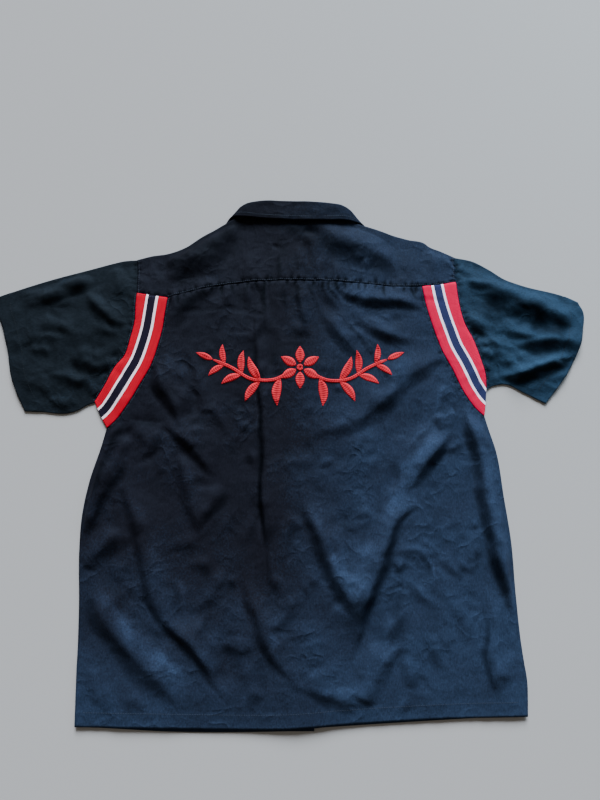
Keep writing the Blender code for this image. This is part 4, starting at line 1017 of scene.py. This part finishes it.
def twillGroup():                     # fine diagonal weave over small dents, with uneven dye, painted light across the cloth, and painted fold shade and highlights
    number, vector, colour = ("NodeSocket" + kind for kind in ("Float", "Vector", "Color"))
    tree, start, end = newGroup(
        "twillWeave",
        [("Vector", vector, None), ("Place", vector, None),
         ("Cloth", colour, (0.02, 0.03, 0.05, 1)), ("PaleLit", colour, (0.04, 0.06, 0.09, 1)),
         ("Threads", number, weave["threads"]), ("Rough", number, weave["rough"]),
         ("PaintedFoldLight", number, 0.0)],
        [("Color", colour), ("Roughness", number), ("Height", number)])
    given = start.outputs
    wave = addNode(tree, "TexWave", {
        "Vector": given["Vector"], "Scale": times(tree, given["Threads"], weave["weaveScale"]),
        "Distortion": 1.2, "Detail": 1.0}, wave_type="BANDS", bands_direction="DIAGONAL")
    dents, slubs, dye = (addNoise(tree, given["Vector"], *weave[name])
                         for name in ("dents", "slubs", "dye"))

    split = addNode(tree, "SeparateXYZ", {"Vector": given["Place"]})
    x, y = split.outputs["X"], split.outputs["Y"]
    side = addNode(tree, "MapRange", {     # painted light: paler towards the right side and hem
        "Value": x, "From Min": weave["paleFrom"], "From Max": weave["paleTo"],
        "To Min": weave["darkest"], "To Max": weave["palest"]}, interpolation_type="SMOOTHSTEP")
    # painted light: paler still to the right and towards the hem, darker at the top
    right = times(tree, atLeast(tree, minus(tree, x, weave["rightFrom"]), 0.0), weave["right"])
    below = addMath(tree, "POWER", atLeast(tree, times(tree, y, -1.0), 0.0), 2.0)
    tilt = atLeast(tree, minus(tree, 1.0, times(tree, x, weave["belowTilt"])), 0.3)
    below = times(tree, times(tree, below, weave["below"]), tilt)
    above = times(tree, atLeast(tree, y, 0.0), weave["above"])
    shade = times(tree, plus(tree, dye, slubs), 0.5)
    shade = times(tree, minus(tree, shade, 0.5), weave["dyeVary"])
    for part in (side.outputs["Result"], right, below, above):
        shade = plus(tree, shade, part)

    # painted fold shade where the attribute is above 0, painted highlight where it is below 0
    paintedShade = atLeast(tree, given["PaintedFoldLight"], 0.0)
    paintedHighlight = minus(tree, paintedShade, given["PaintedFoldLight"])
    shade = plus(tree, shade, times(tree, paintedHighlight, weave["paintedHighlight"]))
    mixed = addMix(tree, shade, given["Cloth"], given["PaleLit"])
    stretch = addNode(tree, "VectorMath", {0: given["Vector"], 1: weave["warpStretch"]},
                      operation="MULTIPLY")       # longer along the warp
    mottle = addNoise(tree, stretch.outputs["Vector"], *weave["mottle"])
    tint = plus(tree, times(tree, mottle, weave["tintVary"]), weave["tint"])
    # painted shade darkens the colour, painted highlights lighten it
    shadeDarkening = times(tree, addMath(tree, "POWER", paintedShade, weave["shadePower"]), weave["shadeLoss"])
    foldLightScale = plus(tree, minus(tree, 1.0, shadeDarkening), times(tree, paintedHighlight, weave["highlightGain"]))
    scaled = addNode(tree, "VectorMath", {0: mixed, "Scale": times(tree, tint, foldLightScale)},
                     operation="SCALE")
    rough = plus(tree, given["Rough"], times(tree, minus(tree, slubs, 0.5), weave["roughVary"]))

    crinkle = addNode(tree, "TexNoise", {         # sharp small creases, here and there
        "Vector": given["Vector"], "Scale": 42.0, "Detail": 1.5, "Offset": 1.0, "Gain": 1.0,
        "Distortion": 0.6}, noise_type="RIDGED_MULTIFRACTAL")
    creased = times(tree, atLeast(tree, minus(tree, dye, weave["creaseFrom"]), 0.0),
                    crinkle.outputs["Fac"])
    height = plus(tree, times(tree, wave.outputs["Fac"], weave["threadHeight"]),
                  times(tree, creased, weave["creases"]))
    small = plus(tree, times(tree, slubs, weave["slubHeight"]),
                 times(tree, mottle, weave["mottleHeight"]))
    height = plus(tree, height, plus(tree, dents, small))
    setInputs(tree, end, {"Color": scaled.outputs["Vector"], "Roughness": rough,
                          "Height": height})
    return tree


twill = twillGroup()


def clothMaterial(name, clothColour, paleLitColour, grainTurn):
    made, tree, shader = newLook(name)
    place = addNode(tree, "TexCoord", {}).outputs["Object"]
    turned = addNode(tree, "VectorRotate", {"Angle": math.radians(grainTurn), "Vector": place},
                     rotation_type="Z_AXIS")
    # painted fold shade and highlights, read from the mesh
    paintedFoldLight = addNode(tree, "Attribute", {}, attribute_name="paintedFoldLight")
    cloth = addNode(tree, "Group", {}, node_tree=twill)
    setInputs(tree, cloth, {"Cloth": clothColour, "PaleLit": paleLitColour, "Place": place,
                            "Vector": turned.outputs["Vector"],
                            "PaintedFoldLight": paintedFoldLight.outputs["Fac"]})
    setInputs(tree, shader, {
        "Base Color": cloth.outputs["Color"], "Roughness": cloth.outputs["Roughness"],
        "Normal": addBump(tree, cloth.outputs["Height"], 0.6, 0.0012),
        "Specular IOR Level": 0.04, "Specular Tint": (0.45, 0.7, 1.0, 1.0),
        "Sheen Weight": 0.008, "Sheen Roughness": 0.4, "Sheen Tint": (0.4, 0.6, 1.0, 1.0)})
    return made


stripes = {"white": 0.265, "navy": 0.338, "secondWhite": 0.555, "secondRed": 0.622,
           "ribPitch": 0.0018}


def bandMaterial(name, red, white, navy):
    made, tree, shader = newLook(name)
    place = addNode(tree, "UVMap", {}, uv_map="cut")
    split = addNode(tree, "SeparateXYZ", {"Vector": place.outputs["UV"]})
    ramp = addNode(tree, "ValToRGB", {"Fac": split.outputs["X"]})
    ramp.color_ramp.interpolation = "CONSTANT"
    stops = ramp.color_ramp.elements
    stops[0].position, stops[0].color = 0.0, red
    stops[1].position, stops[1].color = stripes["white"], white
    for stripe, colour in (("navy", navy), ("secondWhite", white), ("secondRed", red)):
        stops.new(stripes[stripe]).color = colour
    ribs = times(tree, split.outputs["Y"], 2 * math.pi / stripes["ribPitch"])
    setInputs(tree, shader, {
        "Base Color": ramp.outputs["Color"], "Roughness": 0.8, "Specular IOR Level": 0.04,
        "Normal": addBump(tree, addMath(tree, "SINE", ribs), 0.5, 0.0003)})
    return made


# the pale colours also carry painted light; the sleeves' pair is a greener copy, painted for the
# light on the sleeves
colourSets = {
    "cloth": [(0.0080, 0.0080, 0.0122, 1), (0.0190, 0.0315, 0.0600, 1), 0.0],   # dark, pale (dye and painted light),
    "sleeve": [(0.0085, 0.0115, 0.0150, 1), (0.0155, 0.0360, 0.0640, 1), 72.0],  # grain turn
    "band": [(0.50, 0.0002, 0.017, 1), (1.0, 0.82, 0.88, 1), (0.010, 0.008, 0.018, 1)],
    # a paler, bluer copy of the band colours: painted light on the right side
    "bandLit": [(0.65, 0.001, 0.052, 1), (0.98, 0.84, 1.0, 1), (0.024, 0.030, 0.088, 1)],
}
clothLook = clothMaterial("navyTwill", *colourSets["cloth"])
sleeveLook = clothMaterial("navyTwillSleeve", *colourSets["sleeve"])
bandLook = bandMaterial("stripedRib", *colourSets["band"])
bandLitLook = bandMaterial("stripedRibLit", *colourSets["bandLit"])


def finish(piece, look, node):
    piece.data.materials.clear()
    piece.data.materials.append(look)
    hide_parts(node)
    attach(piece, "root")


finish(makeBack(), clothLook, "back_body")
print("back made")
finish(makeBand("Left"), bandLook, "band_left")
finish(makeBand("Right"), bandLitLook, "band_right")
print("bands made")
finish(makeYoke(), clothLook, "back_yoke")
print("yoke made")
finish(makeSleeve("Left"), sleeveLook, "sleeve_left")
finish(makeSleeve("Right"), sleeveLook, "sleeve_right")
print("sleeves made")
finish(makeFront("Left", 1.0, lowerMiddle), clothLook, "front_left")
finish(makeFront("Right", -1.0, overlapMiddle), clothLook, "front_right")
print("fronts made")
finish(makeCollar(), clothLook, "collar")
print("collar made")

# stitches: one is modelled, and the rows of a seam are its copies in one mesh
stitch = {"length": 2.3, "width": 0.62, "thick": 0.42, "pitch": 3.3, "middle": 0.62,
          "endWidth": 0.45, "endThick": 0.4, "endDrop": 0.45}


def modelStitch():                    # a short thread, flat below and drawn in at both ends
    bpy.ops.object.select_all(action="DESELECT")
    bpy.ops.mesh.primitive_cylinder_add(vertices=6, radius=0.5, depth=1.0, location=(0, 0, 0))
    made = bpy.context.object
    made.name = "stitchPattern"
    size = (stitch["length"] * stitch["middle"], stitch["width"], stitch["thick"])
    bpy.ops.object.mode_set(mode="EDIT")
    bpy.ops.mesh.select_all(action="SELECT")
    bpy.ops.transform.rotate(value=math.pi / 2, orient_axis="Y", center_override=(0, 0, 0))
    bpy.ops.transform.resize(value=size, center_override=(0, 0, 0))
    bpy.ops.mesh.select_all(action="DESELECT")
    bpy.ops.object.mode_set(mode="OBJECT")
    for face in made.data.polygons:
        face.select = len(face.vertices) == 6
    bpy.ops.object.mode_set(mode="EDIT")
    bpy.ops.mesh.select_mode(type="FACE")
    bpy.ops.mesh.extrude_faces_move(TRANSFORM_OT_shrink_fatten={"value": 0.0})
    bpy.ops.object.mode_set(mode="OBJECT")
    faces = [list(face.vertices) for face in made.data.polygons]
    for end in (face for face in faces if len(face) == 6):      # the new ends move outwards
        sign = math.copysign(1.0, made.data.vertices[end[0]].co.x)
        for index in end:
            spot = made.data.vertices[index].co
            spot.x = sign * stitch["length"] / 2
            spot.y *= stitch["endWidth"]
            spot.z = spot.z * stitch["endThick"] - stitch["thick"] * stitch["endDrop"]
    corners = np.array([vertex.co[:] for vertex in made.data.vertices])
    bpy.data.objects.remove(made, do_unlink=True)
    return corners, faces


stitchCorners, stitchFaces = modelStitch()


def addPiece(name, mesh, look):
    mesh.shade_smooth()
    mesh.materials.append(look)
    piece = bpy.data.objects.new(name, mesh)
    bpy.context.collection.objects.link(piece)
    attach(piece, "root")


def rowOnHeight(line, height, lift, sign=1.0):        # stitches along a line on a layer
    run = runOf(line)
    flat = placesAt(np.arange(stitch["pitch"] / 2, run[-1], stitch["pitch"]), run, line)
    x, y = flat[:, 0], flat[:, 1]
    z = height(x, y)
    slopeX = (height(x + 1.0, y) - height(x - 1.0, y)) / 2.0
    slopeY = (height(x, y + 1.0) - height(x, y - 1.0)) / 2.0
    normals = unit(np.column_stack([-slopeX, -slopeY, np.ones(len(x))]))
    return np.column_stack([x, y, z]) + normals * lift * sign, normals * sign


def stitchRows(name, rows, look):
    frames = []
    for points, normals in rows:
        along = np.gradient(points, axis=0)
        along = unit(along - normals * np.sum(along * normals, axis=1, keepdims=True))
        frames.append(np.stack([along, np.cross(normals, along), normals], axis=1))
    places, frames = np.concatenate([points for points, _ in rows]), np.concatenate(frames)
    corners = (np.einsum("vk,nkj->nvj", stitchCorners, frames) + places[:, None]).reshape(-1, 3)
    count = len(stitchCorners)
    faces = [[index + count * turn for index in face] for turn in range(len(places))
             for face in stitchFaces]
    mesh = bpy.data.meshes.new(name)
    mesh.from_pydata((corners * mm).tolist(), [], faces)
    addPiece(name, mesh, look)


def threadMaterial(name, threadColour):
    made, tree, shader = newLook(name)
    place = addNode(tree, "TexCoord", {}).outputs["Object"]
    strands = addNoise(tree, place, 2600.0, 2.0)
    dark, light = ([share * part for part in threadColour] + [1] for share in (0.6, 1.4))
    setInputs(tree, shader, {
        "Base Color": addMix(tree, strands, dark, light), "Roughness": 0.55,
        "Specular IOR Level": 0.15, "Normal": addBump(tree, strands, 0.5, 0.0002)})
    return made


threadLook = threadMaterial("navyThread", (0.034, 0.046, 0.070))
sleeveThreadLook = threadMaterial("darkNavyThread", (0.007, 0.011, 0.015))


def inset(name, distance, middle, trim):      # inside an edge, less a share at both ends
    line = edge(name, 60)
    moved = line - outwardOf(line, middle) * distance
    share = shareOf(moved)
    return moved[(share >= trim) & (share <= 1 - trim)]


def besideLine(name, distance, steps=60):     # to the left of the walking direction
    line = edge(name, steps)
    return line + unit(leftOf(np.gradient(line, axis=0))) * distance


def overHem(x, y):
    return upperMiddle(x, y) + walls["hem"] / 2


def overCloth(x, y):
    return upperMiddle(x, y) + walls["single"] / 2


def overYoke(x, y):
    return upperMiddle(x, y) + yoke["rise"] + walls["single"] / 2


def underLeft(x, y):
    return lowerMiddle(x, y) - walls["single"] / 2


def underRight(x, y):
    return overlapMiddle(x, y) - walls["single"] / 2


seams = {"hemIn": 18.5, "cuffIn": 20.5, "hemLift": 0.12, "yokeLift": 0.08, "clothLift": 0.10,
         "underLift": 0.05,
         "yoke": [("yokeSeam", 2.2, 60), ("bandTopLeft", -2.2, 12), ("bandTopRight", 2.2, 12),
                  ("armYokeLeft", -2.4, 16), ("armYokeRight", 2.4, 16)],
         "cloth": [("bandInLeft", -2.4), ("bandInRight", 2.4), ("bandOutLeft", 2.4),
                   ("bandOutRight", -2.4)]}
rows = [rowOnHeight(inset("hem", seams["hemIn"], bodyMiddle, 0.01), overHem, seams["hemLift"])]
rows += [rowOnHeight(besideLine(*seam), overYoke, seams["yokeLift"]) for seam in seams["yoke"]]
rows += [rowOnHeight(besideLine(*seam), overCloth, seams["clothLift"])
         for seam in seams["cloth"]]
rows.append((collarStitch[0] + collarStitch[1] * seams["yokeLift"], collarStitch[1]))
cuffRows = [rowOnHeight(inset("cuff" + side, seams["cuffIn"], middle, 0.04), overHem,
                        seams["hemLift"]) for side, middle in sleeve["middles"].items()]
stitchRows("topStitches", rows, threadLook)
stitchRows("cuffStitches", cuffRows, sleeveThreadLook)

buttonhole = {"half": 8.5, "clearOfButton": 6.4, "apart": 0.8, "end": 3.3, "lift": 0.04,
              "threadsApart": 1.3, "threadHalf": 0.6, "threadHeight": 0.58}
placket = {"edgeIn": 2.6, "bottom": -352.0, "top": 268.0}


def frontEdge(offset):                # a line down the front, beside its centre
    y = np.linspace(placket["bottom"], placket["top"], 80)
    return np.column_stack([centreX(y) + offset, y])


def buttonholeRows(middle):
    made = []
    for end in (-1, 1):
        for beside in (-1, 1):
            reach = np.linspace(buttonhole["clearOfButton"],
                                buttonhole["half"] + buttonhole["end"], 6)
            x = centreX(middle + end * reach) + beside * buttonhole["apart"]
            made.append(rowOnHeight(np.column_stack([x, middle + end * reach]), underLeft,
                                    buttonhole["lift"], -1.0))
    return made


def buttonThreads(middle):            # across the holes of a button, over its recess
    half = buttonhole["threadHalf"]
    made = []
    for beside in (-buttonhole["threadsApart"], buttonhole["threadsApart"]):
        points = np.array([[centreX(middle) + along, middle + beside,
                            buttonhole["threadHeight"]] for along in (-half, half)])
        made.append((points, np.array([[0.0, 0.0, -1.0]] * 2)))
    return made


underRows = [rowOnHeight(inset("hemFrontLeft", seams["hemIn"], bodyMiddle, 0.02), underLeft,
                         seams["underLift"], -1.0),
             rowOnHeight(inset("hemFrontRight", seams["hemIn"], bodyMiddle, 0.02), underRight,
                         seams["underLift"], -1.0),
             rowOnHeight(frontEdge(opening["half"] - placket["edgeIn"]), underLeft,
                         seams["underLift"], -1.0)]
for makeRows in (buttonholeRows, buttonThreads):
    for number in range(opening["buttons"]):
        underRows += makeRows(opening["topButtonY"] + opening["buttonStep"] * number)
stitchRows("underStitches", underRows, threadLook)
print("stitches set:", sum(len(row[0]) for row in rows + cuffRows + underRows))

# ornament: a garland of leaves about a small flower, in chain stitch, of our own design
ornament = {
    "middle": (16.0, 118.0),
    "stem": [(12, -6), (40, -19), (72, -17), (101, 0), (128, 12)],   # right half; left mirrored
    "stemWidth": 5.4, "leafPairs": 4, "leafLength": 43.0, "leafWidth": 14.5, "leafTurn": 58.0,
    "firstLeaf": 9, "leafStep": 14, "shrink": 0.11, "innerLeaf": 0.92, "bend": 0.16,
    "tipLength": 0.62, "tipWidth": 0.66, "leafGap": 2.6, "tipGap": 1.5, "petalGap": 1.0,
    "leafEnd": 0.03, "leafLean": 0.85, "leafFull": 0.8, "stemEnd": 0.45, "raisedEnd": 0.35,
    "petals": 6, "petalLength": 25.0, "petalWidth": 14.0, "heart": 6.0, "heartWidth": 4.2,
    "rise": 1.15, "rim": 0.5, "rimWidth": 0.22, "chain": 0.34, "chainPitch": 3.2, "step": 0.85,
    "lift": 0.12, "edgeSink": 0.15, "underSink": 0.35,
}


def polar(angle):
    return np.array([math.cos(angle), math.sin(angle)])


def headingOf(vector):
    return math.atan2(vector[1], vector[0])


def leafShape(base, turn, length, width, bend):
    along = polar(turn)
    points = [base + along * length * t + leftOf(along) * bend * length * t * (1 - t) * 2
              for t in (0.0, 0.3, 0.65, 1.0)]
    return points, width, True


def ornamentStrokes():
    middle = np.array(ornament["middle"])
    length, width = ornament["leafLength"], ornament["leafWidth"]
    strokes = []
    for mirror in (1, -1):
        flip = np.array([mirror, 1])
        stem = [middle + np.array(point) * flip for point in ornament["stem"]]
        strokes.append((stem, ornament["stemWidth"], False))
        route = evenCurve(stem, 60)
        for number in range(ornament["leafPairs"]):
            at = ornament["firstLeaf"] + number * ornament["leafStep"]
            heading = headingOf((route[at + 1] - route[at - 1]) * flip)
            size = 1.0 - ornament["shrink"] * number
            for turn in ((1, -1) if number else (-1,)):
                direction = polar(heading + math.radians(ornament["leafTurn"]) * turn) * flip
                strokes.append(leafShape(
                    route[at] + direction * ornament["leafGap"], headingOf(direction),
                    length * size * (ornament["innerLeaf"] if turn < 0 else 1.0), width * size,
                    -ornament["bend"] * turn * mirror))
        direction = polar(headingOf((route[-1] - route[-3]) * flip)) * flip
        strokes.append(leafShape(
            route[-1] + direction * ornament["tipGap"], headingOf(direction),
            length * ornament["tipLength"], width * ornament["tipWidth"], 0.0))
    for petal in range(ornament["petals"]):
        turn = math.radians(30 + 360 / ornament["petals"] * petal)
        strokes.append(leafShape(
            middle + polar(turn) * (ornament["heart"] + ornament["petalGap"]), turn,
            ornament["petalLength"], ornament["petalWidth"], 0.0))
    ring = [middle + polar(t) * ornament["heart"] * 0.5 for t in np.radians(range(0, 361, 45))]
    strokes.append((ring, ornament["heartWidth"], False))
    return strokes


def strokeRing(points, width, leaf):          # cross-sections of one raised row of stitches
    profile = np.linspace(-1, 1, 9)
    length = runOf(np.array(points))[-1]
    share = np.linspace(0, 1, max(int(length / ornament["step"]), 6) + 1)
    line = curvePoints(points, share)
    across = leftOf(unit(np.gradient(line, axis=0)))
    fromEnd = np.minimum(share, 1 - share)
    if leaf:
        at = np.clip(share, ornament["leafEnd"], 1 - ornament["leafEnd"])**ornament["leafLean"]
        half = width / 2 * np.sin(math.pi * at)**ornament["leafFull"]
    else:
        half = width / 2 * np.minimum(1.0, ornament["stemEnd"] + 8 * fromEnd)
    flat = line[:, None] + across[:, None] * (half[:, None] * profile)[..., None]
    ground = overCloth(flat[..., 0], flat[..., 1])
    turns = share[:, None] * length / ornament["chainPitch"]
    lobe = np.abs(np.sin(math.pi * (turns + 0.30 * np.abs(profile))))
    crown = (1 - np.abs(profile)**4) * ornament["rise"]
    groove = np.exp(-(profile / ornament["rimWidth"])**2) * ornament["rim"]
    raised = crown - groove + ornament["chain"] * lobe * (1 - profile**2)
    full = np.minimum(1.0, ornament["raisedEnd"] + 4 * fromEnd)[:, None]
    top = ground + ornament["lift"] + raised * full
    for side in (0, -1):
        top[:, side] = ground[:, side] - ornament["edgeSink"]
    over = np.concatenate([flat, top[..., None]], axis=-1)
    below = np.concatenate([flat, (ground - ornament["underSink"])[..., None]], axis=-1)
    ring = np.concatenate([over, below[:, ::-4][:, 1:-1]], axis=1)
    side = np.concatenate([np.abs(profile), np.ones(ring.shape[1] - len(profile))])
    marks = np.stack(np.broadcast_arrays(side[None], turns), axis=-1)
    return ring, marks


def makeOrnament(look):
    corners, faces, marks = [], [], []
    total = 0
    for stroke in ornamentStrokes():
        ring, mark = strokeRing(*stroke)
        index = total + np.arange(ring.shape[0] * ring.shape[1]).reshape(ring.shape[:2])
        after = np.roll(index, -1, axis=1)
        quads = np.stack([index[:-1], index[1:], after[1:], after[:-1]], axis=-1)
        faces += quads.reshape(-1, 4).tolist() + [index[0].tolist(), index[-1][::-1].tolist()]
        corners.append(ring.reshape(-1, 3))
        marks.append(mark.reshape(-1, 2))
        total += index.size
    mesh = bpy.data.meshes.new("garlandStitching")
    mesh.from_pydata((np.concatenate(corners) * mm).tolist(), [], faces)
    fixed = bmesh.new()
    fixed.from_mesh(mesh)
    bmesh.ops.recalc_face_normals(fixed, faces=fixed.faces)
    fixed.to_mesh(mesh)
    fixed.free()
    setUv(mesh, "chain", np.concatenate(marks))
    addPiece("garlandStitching", mesh, look)
    return len(faces)


def chainMaterial():
    made, tree, shader = newLook("redChainThread")
    place = addNode(tree, "UVMap", {}, uv_map="chain")
    split = addNode(tree, "SeparateXYZ", {"Vector": place.outputs["UV"]})
    across, along = split.outputs["X"], split.outputs["Y"]
    fibres = addNoise(tree, addNode(tree, "TexCoord", {}).outputs["Object"], 900.0, 4.0)
    turns = times(tree, plus(tree, along, times(tree, across, 0.3)), math.pi)
    loops = addMath(tree, "ABSOLUTE", addMath(tree, "SINE", turns))
    tone = plus(tree, times(tree, across, 0.55), times(tree, loops, 0.3))
    tone = plus(tree, tone, times(tree, minus(tree, fibres, 0.5), 0.9))
    setInputs(tree, shader, {
        "Base Color": addMix(tree, tone, (0.30, 0.003, 0.010, 1), (0.90, 0.035, 0.055, 1)),
        "Normal": addBump(tree, plus(tree, fibres, loops), 0.7, 0.0004),
        "Roughness": 0.7, "Specular IOR Level": 0.12})
    return made


print("ornament stitched:", makeOrnament(chainMaterial()), "faces")


def buttonMaterial():                 # the buttons' solids stay, in polished dark polyester
    made, tree, shader = newLook("darkPolyester")
    place = addNode(tree, "TexCoord", {}).outputs["Object"]
    clouds = addNoise(tree, place, 260.0, 3.0, 1.5)
    setInputs(tree, shader, {
        "Base Color": addMix(tree, clouds, (0.008, 0.010, 0.016, 1), (0.030, 0.036, 0.052, 1)),
        "Roughness": plus(tree, times(tree, clouds, 0.12), 0.2), "Coat Weight": 0.3,
        "Normal": addBump(tree, clouds, 0.15, 0.0001)})
    return made


buttonLook = buttonMaterial()
for number in range(1, opening["buttons"] + 1):
    for held in bpy.data.objects["button_%d" % number].material_slots:
        held.material = buttonLook
print("buttons finished")

# floor, light and camera
studio = {
    "floor": (0.40, 0.39, 0.385, 1), "floorRough": 0.9,
    "sky": (1.0, 0.92, 0.80, 1), "skyStrength": 0.20,
    "sunPower": 8.6, "sunColour": (0.90, 0.98, 1.08), "sunTurn": 88.0, "sunHeight": 28.0,
    "sunSoftness": 32.0,
    "sidePlace": (1.2, 1.2, 0.8), "sideSize": 0.8, "sidePower": 12.0,
    "sideColour": (0.55, 0.80, 1.0),
}
bpy.ops.object.select_all(action="DESELECT")
bpy.ops.mesh.primitive_plane_add(size=6.0, location=(0, 0, -0.0004))
floor = bpy.context.object
floor.name = "floor"
floorLook, floorTree, floorShader = newLook("paleFloor")
setInputs(floorTree, floorShader, {"Base Color": studio["floor"],
                                   "Roughness": studio["floorRough"]})
floor.data.materials.append(floorLook)

world = bpy.data.worlds.new("studio")
world.use_nodes = True
setInputs(world.node_tree, world.node_tree.nodes["Background"],
          {"Color": studio["sky"], "Strength": studio["skyStrength"]})
bpy.context.scene.world = world


def addLamp(name, kind, place, power, colour):
    data = bpy.data.lights.new(name, kind)
    data.energy = power
    data.color = colour
    lamp = bpy.data.objects.new(name, data)
    bpy.context.collection.objects.link(lamp)
    lamp.location = place
    lamp.rotation_euler = (-Vector(place)).to_track_quat("-Z", "Y").to_euler()
    return data


turn, height = math.radians(studio["sunTurn"]), math.radians(studio["sunHeight"])
sunPlace = (3 * math.cos(turn) * math.cos(height), 3 * math.sin(turn) * math.cos(height),
            3 * math.sin(height))
sun = addLamp("windowLight", "SUN", sunPlace, studio["sunPower"], studio["sunColour"])
sun.angle = math.radians(studio["sunSoftness"])
side = addLamp("sideLight", "AREA", studio["sidePlace"], studio["sidePower"],
               studio["sideColour"])
side.size = studio["sideSize"]

camera = {"place": (0.016, -0.096, 0.900), "tilt": 10.5, "lens": 28.0, "sensor": 36.0}
cameraData = bpy.data.cameras.new("camera")
cameraData.lens = camera["lens"]
cameraData.sensor_width = camera["sensor"]
cameraObject = bpy.data.objects.new("camera", cameraData)
bpy.context.collection.objects.link(cameraObject)
cameraObject.location = camera["place"]
cameraObject.rotation_euler = (math.radians(camera["tilt"]), 0, 0)
bpy.context.scene.camera = cameraObject
print("light and camera set")
